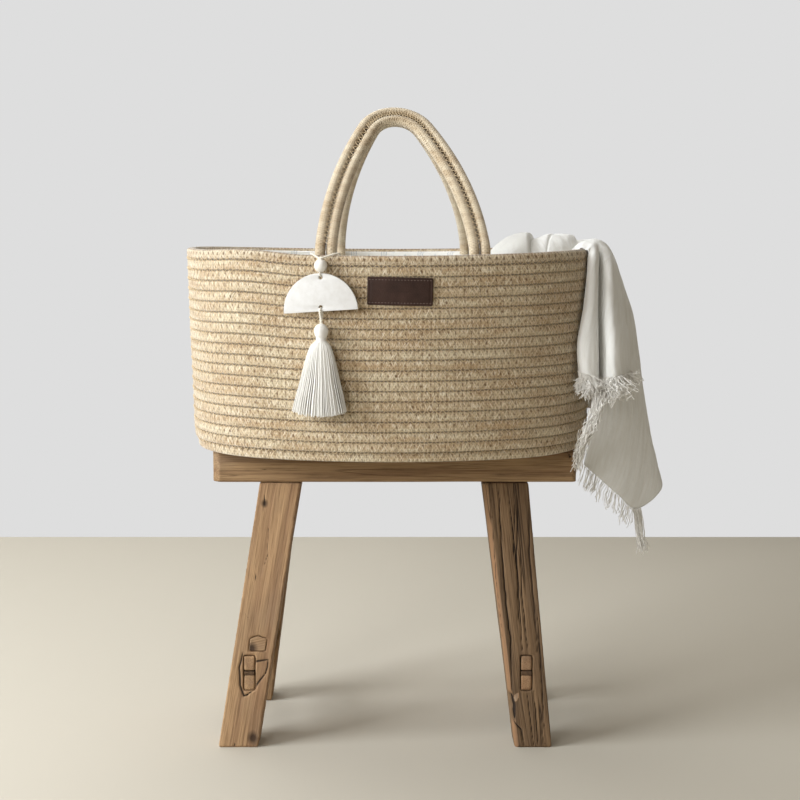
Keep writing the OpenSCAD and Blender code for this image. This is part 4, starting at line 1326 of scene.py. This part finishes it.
turn = np.linspace(0, math.pi, 97)
rim_points = PLATE_R * np.column_stack([np.cos(turn), np.sin(turn)])
cut_corner = [(-PLATE_R * 0.9996, 0.0006), (-PLATE_R + 0.0006, 0.0)]
outline = np.concatenate([rim_points[2:-2], cut_corner, [(-x, y) for x, y in cut_corner[::-1]]])
outline = np.column_stack(turned(outline[:, 0], outline[:, 1], PLATE_TILT)) + [0, PLATE_Z]
holes = [np.column_stack([PLATE_HOLE_R * np.cos(turn * 2)[:-1], z + PLATE_HOLE_R * np.sin(turn * 2)[:-1]])
         for z in PLATE_HOLES]
drawing = bpy.data.curves.new("half disc", "CURVE")
drawing.dimensions, drawing.fill_mode = "2D", "BOTH"
drawing.extrude, drawing.offset = PLATE_T / 2 - SOFT_EDGE, -SOFT_EDGE
drawing.bevel_depth, drawing.bevel_resolution = SOFT_EDGE, 2
for ring in [outline] + holes:
    spline = drawing.splines.new("POLY")
    spline.points.add(len(ring) - 1)
    corner_values = np.column_stack([ring, np.zeros(len(ring)), np.ones(len(ring))])
    spline.points.foreach_set("co", corner_values.ravel())
    spline.use_cyclic_u = True
drawn = add_object("half disc", drawing)
mesh = bpy.data.meshes.new_from_object(drawn.evaluated_get(bpy.context.evaluated_depsgraph_get()))
bpy.data.objects.remove(drawn)
plate = add_object("half_disc", mesh)
flat = corners(plate)
flat = in_charm(np.column_stack([flat[:, 0], CHARM_Y - flat[:, 2], flat[:, 1]]))
mesh.vertices.foreach_set("co", flat.ravel())
mesh.shade_smooth()
mesh.set_sharp_from_angle(angle=math.radians(38))
board = Finish("white board", 0.42)
board.paint(board.blend(board.ramp(board.noise(140.0, 5.0), (0.4, 0.0), (0.75, 1.0)), "dddcda", "d2d0cc"))
board.bump(board.noise(1700.0, 2.0), 0.00012)
mesh.materials.append(board.material)
place(outward(plate), "charm_plate", "plate_white", "charm_plate")

# %% [markdown]
# ## The tassel
#
# A tassel is a hank of threads folded over a cord: a rounded head, a binding wound round the neck,
# and a skirt. The head is one rippled body, the binding one long helix. The skirt is the same
# thread hundreds of times, so a tree makes it: every base point grows a thread along the vector it
# carries. The thread flares at its start, hangs straight after that and wavers by a seeded noise.

# %% Tassel head and binding
tassel_yarn = Finish("tassel cotton", 0.8, Sheen_Weight=0.35, Sheen_Roughness=0.4)
patches = tassel_yarn.noise(420.0, 2.0, tassel_yarn.scaled(1.0, 1.0, 0.05))
tassel_yarn.paint(tassel_yarn.blend(patches, "ece9e2", "fbfaf6"))
tassel_yarn.bump(tassel_yarn.noise(2400.0, 2.0, tassel_yarn.scaled(1.0, 1.0, 0.12)), 0.0003)
tassel_finish = tassel_yarn.material

HEAD_ROWS, HEAD_SIDES, HEAD_TOP, HEAD_H = 34, 264, 0.1360, 0.0142
turn = circle(HEAD_SIDES)
rows = []
for t in np.linspace(0, 1, HEAD_ROWS):
    body_r = 0.0014 + 0.0054 * math.sin(min(t / 0.46, 1) * math.pi / 2) ** 0.62
    body_r -= 0.0025 * max((t - 0.5) / 0.5, 0) ** 2.1
    ripple = 0.00026 * math.sin(math.pi * min(t * 1.4 + 0.1, 1)) * np.abs(np.sin(turn * 22 + 1.2 * t))
    r = body_r * (1 + 0.02 * np.sin(turn * 3 + 2 * t)) + ripple - 0.0002
    rows.append(around(r, turn, HEAD_TOP - HEAD_H * t))
faces = grid_faces(HEAD_ROWS, HEAD_SIDES, closed=True, capped=True)
head = outward(new_piece("tassel_head_threads", np.concatenate(rows), faces, tassel_finish))
place(head, "tassel", "tassel_thread", "tassel_head")

BINDING_R, BINDING_Z, BINDING_H, BINDING_TURNS = 0.0047, 0.1230, 0.0044, 7
wind = np.linspace(0, BINDING_TURNS * 2 * math.pi, BINDING_TURNS * 26)
winding_z = BINDING_Z - BINDING_H * wind / wind[-1] + 0.0001 * np.sin(wind * 0.7)
binding = grow("tassel_winding", THREAD, [around(BINDING_R, wind, winding_z)], Radius=0.0004, Sides=7,
               Material=tassel_finish)
place(binding, "tassel", "tassel_thread", "tassel_binding")

# %% Thread tree
def threads_tree():
    g, given = geometry_tree("threads", Steps=12, Flare=0.3, Quick=0.05, Wave=0.001, Wave_Scale=60.0,
                             Seed=1.0, Radius=0.0004, Sides=4)
    line = g.get("GeometryNodeCurvePrimitiveLine", {"Start": (0, 0, 0), "End": (0, 0, 1)})
    line = g.get("GeometryNodeResampleCurve", {"Curve": line, "Count": given["Steps"]})
    grown = g.get("GeometryNodeInstanceOnPoints", {"Points": given["Geometry"], "Instance": line})
    grown = g.get("GeometryNodeRealizeInstances", {0: grown})
    along = g.get("GeometryNodeSplineParameter", out="Factor")
    base = g.vector("SUBTRACT", g.get("GeometryNodeInputPosition"), g.join(0.0, 0.0, along))
    quick = g.calc("EXPONENT", along * -1.0 / given["Quick"])
    flare = given["Flare"] * (1.0 - quick) + (1.0 - given["Flare"]) * along
    move = g.vector("MULTIPLY", stored(g, "reach", "FLOAT_VECTOR"), g.join(flare, flare, along))
    spot = g.vector("ADD", g.scale(base, given["Wave Scale"]), g.join(given["Seed"], 0.0, along * 2.2))
    sway = g.get("ShaderNodeTexNoise", {"Vector": spot, "Scale": 1.0, "Detail": 1.0}, out="Color")
    sway = g.vector("MULTIPLY", g.vector("SUBTRACT", sway, (0.5, 0.5, 0.5)), (1.0, 1.0, 0.25))
    sway = g.scale(g.scale(sway, given["Wave"]), along ** 0.8)
    placed = g.vector("ADD", g.vector("ADD", base, move), sway)
    grown = g.get("GeometryNodeSetPosition", {"Geometry": grown, "Position": placed})
    return thin_tube(g, given, grown)


THREADS = threads_tree()


def grow_threads(name, bases, reaches, **inputs):
    """One thread from every base point along its own reach."""
    made = new_piece(name, bases, [], smooth=False)
    attribute(made, "reach", reaches)
    return run_tree(made, THREADS, inputs)


print("threads tree:", len(THREADS.nodes), "nodes")

# %% Tassel skirt
SKIRT_THREADS = 440
GOLDEN_TURN = 2.39996       # spreads points evenly over a disc
NECK_R, HEM_WIDE, HEM_DEEP = 0.0043, 0.0270, 0.0118

order = np.arange(SKIRT_THREADS)
spot, swirl = np.sqrt((order + 0.5) / SKIRT_THREADS), order * GOLDEN_TURN
across, deep = spot * np.cos(swirl), spot * np.sin(swirl)
bases = np.column_stack([NECK_R * across, CHARM_Y + NECK_R * deep, np.full(SKIRT_THREADS, 0.1200)])
hem = 0.0485 + 0.0035 * np.abs(across) ** 2 + rng.uniform(-0.0012, 0.0014, SKIRT_THREADS)
tips = np.column_stack([HEM_WIDE * across - 0.0022 * np.abs(across), CHARM_Y - 0.0018 + HEM_DEEP * deep, hem])
bases, tips = in_charm(bases), in_charm(tips)
skirt = grow_threads("tassel_threads", bases, tips - bases, Steps=14, Flare=0.22, Wave=0.0034,
                     Wave_Scale=180.0, Seed=4.0, Radius=0.00047, Sides=5, Material=tassel_finish)
place(skirt, "tassel", "tassel_thread", "tassel_skirt")

# %% [markdown]
# ## Liner
#
# A cotton liner hangs inside the wall and covers the base. It is one sheet: rows of points start
# at the stitched side of the hem, roll over the hem's top, go down the wall, turn a soft corner
# and close on the middle of the floor. Slow noise makes it ripple where nothing holds it. The
# print is a small leaf in faded grey-blue, worked out from lengths along and down the cloth.

# %% Liner cloth and print
WEAVE, LEAF_ACROSS, LEAF_DOWN = 0.0011, 0.017, 0.015


def cotton(name, pale):
    """Plain cotton: a fine weave on two stored lengths, and small creases."""
    f = Finish(name, 0.85, Sheen_Weight=0.25, Sheen_Roughness=0.5, Specular_IOR_Level=0.2)
    f.u, f.v = f.attribute("cloth_u"), f.attribute("cloth_v")
    f.pale = f.blend(f.ramp(f.noise(45.0), (0.35, 0.5), (0.65, 0.0)), pale, "dedbd3")
    f.paint(f.pale)
    f.bump(f.noise(120.0, 3.0), 0.0006, 0.4)
    f.bump(f.wave(f.u / WEAVE) * f.wave(f.v / WEAVE), 0.0001, 0.6)
    return f


def leaf_print(f):
    """One leaf in each cell, every second column half a cell lower: 1 on its lines and 0 off them."""
    u, v = f.u / LEAF_ACROSS, f.v / LEAF_DOWN
    x = abs(f.calc("FRACT", u) - 0.5)
    y = f.calc("FRACT", v + f.calc("FLOOR", u) * 0.5) - 0.5
    oval = f.calc("SQRT", (x / 0.17) ** 2.0 + (y / 0.32) ** 2.0)
    outline = abs(oval - 1.0) < 0.12
    stem = (x < 0.016) * (abs(y) < 0.44)
    veins = (f.calc("FRACT", (y - x * 0.9) * 9.0) < 0.2) * (oval < 1.0)
    return f.calc("MAXIMUM", outline, f.calc("MAXIMUM", stem, veins))


printed = cotton("printed cotton", "f3f3f0")
printed.paint(printed.blend(leaf_print(printed) * 0.55, printed.pale, "8f9cab"))
liner_length = oval_ring(0.0125, 100)[2][-1] * 100 / 99
print("leaves round the liner: about", round(liner_length / LEAF_ACROSS))

# %% Liner sheet
LINER_AROUND = 560
LINER_ROWS = [(0.1880, 0.01245), (0.1925, 0.01240), (0.1955, 0.01230), (0.1968, 0.0118), (0.1964, 0.0112),
              (0.1940, 0.01105)]                                                     # height, inset: hem
LINER_ROWS += [(height, 0.0111) for height in np.linspace(0.185, 0.022, 24)]         # wall
LINER_ROWS += [(0.0165, 0.0118), (0.0132, 0.0134), (0.0115, 0.0165), (0.01105, 0.021)]     # corner
LINER_ROWS += [(0.0110, inset) for inset in np.arange(0.030, 0.121, 0.010)]          # floor


def liner_grid():
    """Rows of points, and each row's lengths along and down the cloth."""
    rows, across, down, length = [], [], [], 0.0
    for height, depth in LINER_ROWS:
        on_wall = depth < 0.0125
        free = 0.0009 * np.clip((0.190 - height) / 0.06, 0.15, 1)
        free *= np.clip((height - 0.02) / 0.03, 0, 1) * on_wall
        at, out, along = oval_ring(depth + float(wall_inset(height)), LINER_AROUND)
        flat = np.column_stack([along, np.full(LINER_AROUND, height), np.zeros(LINER_AROUND)])
        ripple = rough_values(flat, (42, 6, 0), 31.0) + 0.4 * rough_values(flat, (110, 18, 0), 37.0)
        point = in_basket(at - out * (free * (0.6 + 0.6 * np.clip(ripple, -1, 1)))[:, None], height)
        if rows:
            length += np.linalg.norm(point - rows[-1], axis=1).mean()
        rows.append(point)
        across.append(along)
        down.append(np.full(LINER_AROUND, length))
    middle = rows[-1].copy()
    middle[:, 1] = MIDDLE[1]
    return rows + [middle], across + [across[-1]], down + [down[-1] + 0.015]


rows, across, down = liner_grid()
faces = grid_faces(len(rows), LINER_AROUND, closed=True)
liner = new_piece("liner_sheet", np.concatenate(rows), faces, printed.material)
attribute(liner, "cloth_u", np.concatenate(across))
attribute(liner, "cloth_v", np.concatenate(down))
thickened(outward(liner), 0.0007)
hem = in_basket(oval_ring(0.01285 + float(wall_inset(0.189)), 400)[0], 0.1895)
hem_stitches = grow("liner_hem_stitches", STITCH, [hem], closed=True, Pitch=0.0032, Length=0.0022,
                    Radius=0.00022, Material=thread)
place(liner, "basket", "liner_cloth", "liner")
place(hem_stitches, "basket", "liner_cloth")

# %% [markdown]
# ## Mattress pad
#
# The pad is a flat cushion with a sewn edge. A closed shell is blown up a little by a cloth
# simulation with air pressure inside, and the result is applied. It is then held to the room that
# the foam and the liner leave it: it may swell only a little, and it stays flat where it rests.
# Piping covers the two sewn edges. The foam block inside is the same shell, pulled in.

# %% Pad shell
PAD_AROUND, PAD_TOP, PAD_UNDER = 220, 0.0306, 0.0124
PAD = ((PAD_TOP, 0.112), (0.0304, 0.090), (0.0301, 0.070), (0.0296, 0.055), (0.0288, 0.043), (0.0276, 0.034),
       (0.0262, 0.027), (0.0248, 0.0232), (0.0228, 0.0208), (0.0205, 0.0200), (0.0182, 0.0208),
       (0.0162, 0.0232), (0.0146, 0.027), (0.0132, 0.034), (0.0126, 0.043), (PAD_UNDER, 0.055),
       (PAD_UNDER, 0.070), (PAD_UNDER, 0.090), (PAD_UNDER, 0.112))      # height, inset
PIPING = ((0.0262, 0.027), (0.0146, 0.027))

rows = [in_basket(oval_ring(inset, PAD_AROUND)[0], height) for height, inset in PAD]
first, last = rows[0].copy(), rows[-1].copy()
first[:, 1] = last[:, 1] = MIDDLE[1]
rows = [first] + rows + [last]
pad_finish = cotton("pad cotton", "eceae3").material
faces = grid_faces(len(rows), PAD_AROUND, closed=True)
pad = new_piece("mattress_pad", np.concatenate(rows), faces, pad_finish)
attribute(pad, "cloth_u", np.concatenate(rows)[:, 0])
attribute(pad, "cloth_v", np.concatenate(rows)[:, 1])
outward(pad)
print("pad shell:", len(pad.data.vertices), "points")

# %% Air in the pad
PAD_FRAMES, PAD_SWELL, PAD_REST = 20, 0.0020, 0.0122


def blow_up(piece):
    """Swells a closed shell by a short cloth simulation, held to what its room allows."""
    start = corners(piece)
    blown = piece.modifiers.new("air", "CLOTH")
    blown.settings.use_pressure = True
    blown.settings.uniform_pressure_force = 0.4
    blown.settings.quality = 4
    blown.settings.effector_weights.gravity = 0.0
    blown.point_cache.frame_start, blown.point_cache.frame_end = 1, PAD_FRAMES
    for step in range(1, PAD_FRAMES + 1):
        scene.frame_set(step)
        bpy.context.view_layer.update()
    finished(piece)
    scene.frame_set(1)
    moved = corners(piece) - start
    size = np.linalg.norm(moved, axis=1)[:, None]
    settled = start + moved * np.minimum(1.0, PAD_SWELL / np.maximum(size, 1e-9))
    settled[:, 2] = np.maximum(settled[:, 2], SEAT_TOP + PAD_REST)
    piece.data.vertices.foreach_set("co", settled.ravel())
    print(f"pad: the air moved it by up to {size.max() * 1000:.1f} mm, held to {PAD_SWELL * 1000:.1f} mm")


blow_up(pad)

# %% Foam, piping and the finished pad
foam_finish = Finish("cream foam", 0.95)
foam_finish.paint(foam_finish.blend(foam_finish.noise(400.0), "e9ddb8", "f3ebcf"))
foam_finish.bump(foam_finish.noise(1400.0, 2.0), 0.0005, 0.6)
foam = new_piece("foam_block", [v.co - v.normal * 0.0014 for v in pad.data.vertices],
                 [tuple(p.vertices) for p in pad.data.polygons], foam_finish.material)
smooth = pad.modifiers.new("smooth", "SUBSURF")
smooth.levels = smooth.render_levels = 1
finished(pad)
place(pad, "basket", "pad_cloth", "mattress_cover")
place(foam, "basket", "foam", "mattress_foam")
piping = grow("pad_piping", THREAD,
              [in_basket(oval_ring(inset - 0.0004, 400)[0], height) for height, inset in PIPING],
              closed=True, Radius=0.0011, Sides=8, Material=pad_finish)
place(piping, "basket", "pad_cloth")

# %% [markdown]
# ## The gauze throw
#
# A white cotton throw is bunched up inside the right end of the basket, laid over the rim and left
# to hang. It is drawn the way a fold is sketched: cross-sections at a few heights say where the
# cloth runs, and a smooth surface is passed through them. The outer layer hangs in two rounded
# folds with a deep groove between them. The layer behind is one wide panel that stands away from
# the wall at its ridge and ends in a slanting hem. Gentle noise adds the small creases.

# %% Cloth finish
GAUZE_WEAVE = 0.0009

gauze = Finish("white gauze", 0.85, Sheen_Weight=0.3, Sheen_Roughness=0.5, Specular_IOR_Level=0.2)
u, v = gauze.attribute("cloth_u"), gauze.attribute("cloth_v")
weave = gauze.wave(u / GAUZE_WEAVE) * gauze.wave(v / GAUZE_WEAVE)
slub = gauze.noise(1.0, 3.0, gauze.join(u * 260.0, v * 30.0, 0.0))
white = gauze.blend(gauze.ramp(slub, (0.35, 0.6), (0.6, 0.0)), "f3f4f2", "e6e5e0")
# `thin` marks painted shade on the dome of the bunched part.
gauze.paint(gauze.blend(gauze.attribute("thin"), white, "cecdc7"))
gauze.bump(gauze.noise(170.0, 4.0), 0.0007, 0.5)
gauze.bump(weave, 0.00012, 0.6)
gauze.bump(slub, 0.0002, 0.6)
print("gauze weave:", GAUZE_WEAVE * 1000, "mm")

# %% Surfaces through cross-sections
END_X = END_C * 1000        # middle of the basket's right end, in millimetres


def through(rows, count):
    """A smooth line of count points through some control points (Catmull-Rom)."""
    rows = np.asarray(rows, float)
    first, last = 2 * rows[0] - rows[1], 2 * rows[-1] - rows[-2]
    rows = np.concatenate([[first], rows, [last]])
    at = np.linspace(0, len(rows) - 3 - 1e-9, count)
    i = at.astype(int)
    t = (at - i).reshape((-1,) + (1,) * (rows.ndim - 1))
    a, b, c, d = rows[i], rows[i + 1], rows[i + 2], rows[i + 3]
    return b + 0.5 * t * (c - a + t * (2 * a - 5 * b + 4 * c - d + t * (3 * (b - c) + d - a)))


def loft(rows, across, down):
    """A grid of down x across points through control rows of (x, y, z) in millimetres."""
    return through(np.stack([through(row, across) for row in rows]), down) / 1000


def on_basket(points):
    """Points of the basket's plan, in metres above the seat, carried to the row frame."""
    return points + [MIDDLE[0], MIDDLE[1], SEAT_TOP]


def cloth(name, grid, crease, seed):
    """A sheet from a grid of points in the basket's plan: small creases, then thickness."""
    down, across = grid.shape[:2]
    du, dv = np.gradient(grid, axis=1), np.gradient(grid, axis=0)
    normal = np.cross(du, dv)
    normal /= np.linalg.norm(normal, axis=2)[..., None] + 1e-12
    along_u = np.cumsum(np.linalg.norm(du, axis=2), axis=1)
    along_v = np.cumsum(np.linalg.norm(dv, axis=2), axis=0)
    flat = np.column_stack([along_u.ravel(), along_v.ravel(), np.zeros(down * across)])
    ripple = rough_values(flat, (70, 16, 0), seed) + 0.45 * rough_values(flat, (190, 60, 0), seed + 5)
    points = on_basket(grid.reshape(-1, 3) + normal.reshape(-1, 3) * (crease * ripple)[:, None])
    piece = new_piece(name, points, grid_faces(down, across), gauze.material)
    attribute(piece, "cloth_u", flat[:, 0])
    attribute(piece, "cloth_v", flat[:, 1])
    thickened(piece, 0.0011)
    print(f"{name}: about {along_u[:, -1].mean():.3f} x {along_v[-1].mean():.3f} m of cloth")
    return piece, points.reshape(grid.shape)


def fan_row(fan, radius, height):
    """A row on circles round the basket's right end, at the fan's angles."""
    a = np.radians(fan)
    radius, height = np.broadcast_to(radius, a.shape), np.broadcast_to(height, a.shape)
    return np.column_stack([END_X + radius * np.cos(a), radius * np.sin(a), height])


def level(height, *spots):
    """A row of (x, y) spots at one height."""
    return [(x, y, height) for x, y in spots]


# %% Outer layer, two hanging folds
fan = np.array([-28.5, -27.5, -26, -23.8, -21.5, -19.5, -17.5, -16.5, -14.5, -12, -9.5, -7.5, -6, -5])
front_rows = [
    fan_row(fan, 90, 186), fan_row(fan, 104, 200),
    fan_row(fan, 114, [199.5, 202.5, 206.5, 209, 209.5, 209, 208.5, 209, 210, 210.5, 210.5, 210, 209.5, 209]),
    fan_row(fan, 120.5, [205.2, 207.2, 210.2, 212.3, 212, 210.5, 209.5, 211, 212.6, 213, 213, 212.5, 211.5,
                         210.5]),
    fan_row(fan, [126.5, 127, 127.5, 128, 127.5, 127, 127, 127.5, 128.5, 129, 129, 128.5, 128, 127.5],
            [203.6, 206.5, 209.7, 211.5, 210.5, 208.5, 207.5, 209.5, 212, 213, 213, 212.5, 211, 210]),
    fan_row(fan - 0.5, [129, 130.5, 133, 134.5, 133.5, 131.5, 131, 132.5, 134, 135.5, 136, 135.5, 134, 132],
            [203, 205, 207, 207.5, 206.5, 204.5, 203.5, 205.5, 208, 208.5, 208.5, 208, 206, 204]),
    level(190, (198, -60), (197.5, -65), (200, -70), (204, -70), (207.5, -63), (208.5, -52), (210.5, -44),
          (213, -54), (216, -62), (221.5, -61), (225.5, -52), (228.5, -41), (229.5, -31), (226, -25)),
    level(150, (194, -68), (193.5, -73), (196, -79), (201.5, -80), (206, -74), (207.5, -65), (209, -56),
          (212.5, -62), (215, -73), (220.5, -76), (227, -68), (232.5, -55), (235.5, -43), (231, -33)),
    level(110, (188, -75), (186.5, -80), (188.5, -87), (196, -90), (204.5, -86), (207.5, -75), (208.5, -63),
          (213, -70), (215.5, -84), (222, -89), (231, -81), (238, -65), (242, -50), (237, -40)),
    [(189, -76, 84), (188, -81, 84), (190.5, -87.5, 83), (197, -90, 81), (204.5, -86, 78), (208, -74, 76),
     (209, -65, 76), (213, -73, 77), (216, -85, 78), (223, -90, 79), (232, -82, 80), (239.5, -66, 81),
     (243.5, -51, 82), (238.5, -41, 84)]]
front_cloth, front_grid = cloth("throw_front_folds", loft(front_rows, 170, 130), 0.0010, 3.0)

# %% Layer behind, one wide panel
fan = np.array([-12, -8, -3, 2, 7, 14, 22, 30, 38])
back_rows = [
    fan_row(fan, 88, 188), fan_row(fan, 102, 201), fan_row(fan, 114, 208.5),
    fan_row(fan, [124, 125, 126.5, 128, 128, 127, 126, 125, 125],
            [209, 210.5, 212, 212.5, 212.5, 212, 211, 210, 208.5]),
    fan_row(fan, [128.5, 131, 136, 141, 140, 136, 133, 131, 130],
            [202, 204, 206, 207, 207, 206, 204, 203, 202]),
    level(186, (212.5, -27), (220, -22), (229.5, -11), (236.5, 2), (232, 18), (224, 35), (214, 51),
          (203, 64), (191, 76)),
    level(135, (213, -36), (224.5, -31), (239, -19), (251, -3), (254, 9), (246, 30), (229, 50),
          (211, 66), (194, 78)),
    level(55, (210, -42), (227, -34), (244, -23), (260, -7), (267, 8), (258, 32), (238, 56), (216, 72),
          (198, 80)),
    level(28, (210, -44), (229, -33), (248, -23), (264, -8), (272, 8), (262, 34), (240, 58), (217, 74),
          (199, 82)),
    [(200, -48, -10), (221, -37, -16), (245, -27, -20), (266, -11, -24), (281, 8, -12), (268, 36, 0),
     (244, 62, 16), (218, 78, 30), (199, 84, 38)],
    [(199, -50, -16), (217, -38, -33), (237, -31, -51), (260, -16, -69), (290, 8, -49), (275, 38, -21),
     (248, 64, 8), (219, 80, 32), (199, 86, 44)]]
back_cloth, back_grid = cloth("throw_back_cloth", loft(back_rows, 150, 170), 0.0008, 11.0)

# %% [markdown]
# ## The bunched part
#
# Inside the rim the throw is heaped up. Its heap is a height over the basket's plan: a dome, then
# a flatter bank with one more crease, both rounded off towards the wall. At the left the heap ends
# in a flap that falls steeply with small waves in it, and at the right its end is tucked down
# under the layer that goes over the rim. The dome is painted a little darker, as painted shade.

# %% Bunched cloth inside the rim
FLAP_X, FLAP_REACH = 103, 9
HEAP_R, HEAP_REAR, HEAP_FOOT = 112.5, 104, 190
TUCK_R = 103.5


def bunched(x, y):
    """Height of the bunched folds: a dome whose edge overlaps a flatter bank with one more crease."""
    first, second = x - 145.5 - 0.14 * y - 0.0006 * y * y, x - 168 - 0.18 * y
    dome = 193 + 26.5 * np.sin(np.clip((x - FLAP_X) / 38, 0, 1) * math.pi / 2) ** 0.9
    dome -= 0.006 * np.clip(x - 139, 0, None) ** 2
    bank = 211.5 + 6.5 * np.sin(np.clip((first - 1) / 26, 0, 1) * math.pi / 2)
    step = 1 / (1 + np.exp(first / 0.7))
    height = dome * step + bank * (1 - step)
    height -= 3.5 * np.exp(-(np.clip(first, 0, None) / 1.6) ** 2) * (1 - step)
    height -= 2.6 * np.exp(-(second / 1.1) ** 2) - 1.0 * np.exp(-((second + 5) / 4.5) ** 2)
    return height


flap_xs = np.linspace(FLAP_X - FLAP_REACH, FLAP_X, 26)[:-1]
xs, ys = np.meshgrid(np.concatenate([flap_xs, np.linspace(FLAP_X, 197.3, 150)]),
                     np.linspace(-HEAP_REAR, HEAP_REAR, 150))
limit = np.where(xs > END_X, np.sqrt(np.clip(HEAP_R ** 2 - (xs - END_X) ** 2, 0, None)), 120)
ys = ys * np.minimum(limit / HEAP_REAR, 1.0)
radius = np.hypot(xs - END_X, ys)
aslant = np.where(ys < 0, 0.55 * np.clip(182 - xs, 0, 32), 0) * np.clip(-ys / 25, 0, 1)
edge = np.clip(((np.abs(ys) + aslant) / limit - 0.3) / 0.7, 0, 1)
heights = HEAP_FOOT + (bunched(xs, ys) - HEAP_FOOT) * np.cos(edge * math.pi / 2) ** 0.45
fall = np.clip((FLAP_X - xs) / FLAP_REACH, 0, 1)
wrinkle = 1.1 * np.sin(ys / 7.5 + np.sin(xs / 19) * 1.4)
heights += (1 - fall) * wrinkle * np.clip((140 - xs) / 25, 0, 1) * (ys > -95)
heights -= 110 * fall ** 1.6
heights -= 0.09 * np.clip(radius - 100, 0, None) ** 1.5
heights -= 22 * np.clip((xs - END_X - TUCK_R) / 9, 0, 1) ** 1.5
xs = xs + fall ** 0.7 * (3.2 * np.sin(ys / 8.5 + 0.5) + 1.6 * np.sin(ys / 3.7))
inner_cloth, _ = cloth("throw_bunched_cloth", np.dstack([xs, ys, heights])[::-1] / 1000, 0.0008, 23.0)
# Painted shade: `thin` darkens the dome, the part left of 150 mm from the middle.
thin = (MIDDLE[0] + 0.150 - corners(inner_cloth)[:, 0]) / 0.006
attribute(inner_cloth, "thin", 0.8 * np.clip(thin, 0, 1))

# %% [markdown]
# ## Fringe
#
# The throw's cut edges are frayed. The same thread tree grows the fringe: base points sit along
# an edge, and each carries its own direction. Short tangled tufts hang from the two folds, longer
# curved threads from the slanting hem, and a twisted lock from its lowest corner.

# %% Fringe threads
fringe_finish = yarn_finish("fringe cotton", "f4f1ea", "fdfcf9", 300.0, 2500.0, 0.85, 0.3)


def at_shares(edge, shares):
    """Points at some shares of an edge's length."""
    return np.column_stack([np.interp(shares * (len(edge) - 1), np.arange(len(edge)), edge[:, k])
                            for k in range(3)])


def along_edge(edge, count, start, end, jitter):
    """Points spread along an edge, each a little out of line, and their shares of its length."""
    shares = np.sort(rng.uniform(start, end, count))
    points = at_shares(edge, shares)
    return points + rng.normal(0, jitter, points.shape), shares


def spray(edge, count, reach, start, end, spread):
    """Base points on a stretch of an edge, and a reach of its own for each."""
    points, _ = along_edge(edge, count, start, end, 0.0006)
    length = rng.uniform(0.75, 1.15, (count, 1))
    return points, np.array(reach) * length + rng.normal(0, spread, (count, 3)) * [1, 1, 0.3]


def tuft(name, sprays, **inputs):
    bases, reaches = (np.concatenate(group) for group in zip(*sprays))
    made = grow_threads(name, bases, reaches, Flare=0.15, Quick=0.1, Material=fringe_finish, **inputs)
    return place(made, "throw", "throw_gauze")


front_hem, back_hem = front_grid[-1], back_grid[-1]
selvedge = on_basket(np.array([(211, -78, 74), (209, -90, 56), (204, -94, 42), (200, -94, 30),
                               (194, -88, 15), (190, -76, 0), (190, -62, -20)]) / 1000)
selvedge = through(selvedge, 60)
strip, shares = along_edge(selvedge, 300, 0.0, 0.8, 0.0032)
ahead = at_shares(selvedge, np.minimum(shares + 0.24, 1.0))
front_fringe = tuft("throw_front_fringe", [
    spray(front_hem, 110, (0.003, -0.001, -0.021), 0.04, 0.34, 0.003),
    spray(front_hem, 60, (0.004, -0.003, -0.012), 0.06, 0.36, 0.0045),
    spray(front_hem, 170, (-0.002, -0.001, -0.024), 0.50, 0.95, 0.006),
    spray(front_hem, 110, (0.001, -0.005, -0.013), 0.50, 0.92, 0.007),
    spray(front_hem, 3, (0.012, -0.002, 0.001), 0.70, 0.85, 0.002)],
    Steps=18, Wave=0.026, Wave_Scale=110.0, Seed=2.0, Radius=0.00038)
side_fringe = tuft("throw_side_fringe", [(strip, ahead - strip + rng.normal(0, 0.0028, strip.shape))],
                   Steps=18, Wave=0.010, Wave_Scale=120.0, Seed=4.0, Radius=0.0004)
back_fringe = tuft("throw_back_fringe", [
    spray(back_hem, 80, (-0.005, -0.001, -0.018), 0.0, 0.37, 0.0018),
    spray(back_hem, 60, (0.001, 0.001, -0.016), 0.62, 1.0, 0.0025)],
    Steps=12, Wave=0.010, Wave_Scale=70.0, Seed=5.0, Radius=0.0003)
LOCK_TIP = np.array([0.264, -0.030, 0.197])
lock_base, _ = along_edge(back_hem, 60, 0.345, 0.39, 0.001)
lock_reach = LOCK_TIP - lock_base + rng.normal(0, 0.003, lock_base.shape)
lock = tuft("throw_corner_lock", [(lock_base, lock_reach)], Steps=16, Wave=0.012, Wave_Scale=70.0,
            Seed=8.0, Radius=0.00033)

# %% The throw as cloth
place(front_cloth, "throw", "throw_gauze", "throw_folds", "throw_front_panel", "throw_back_panel",
      "throw_fringe")
place(back_cloth, "throw", "throw_gauze")
place(inner_cloth, "throw", "throw_gauze")

# %% [markdown]
# ## The end
#
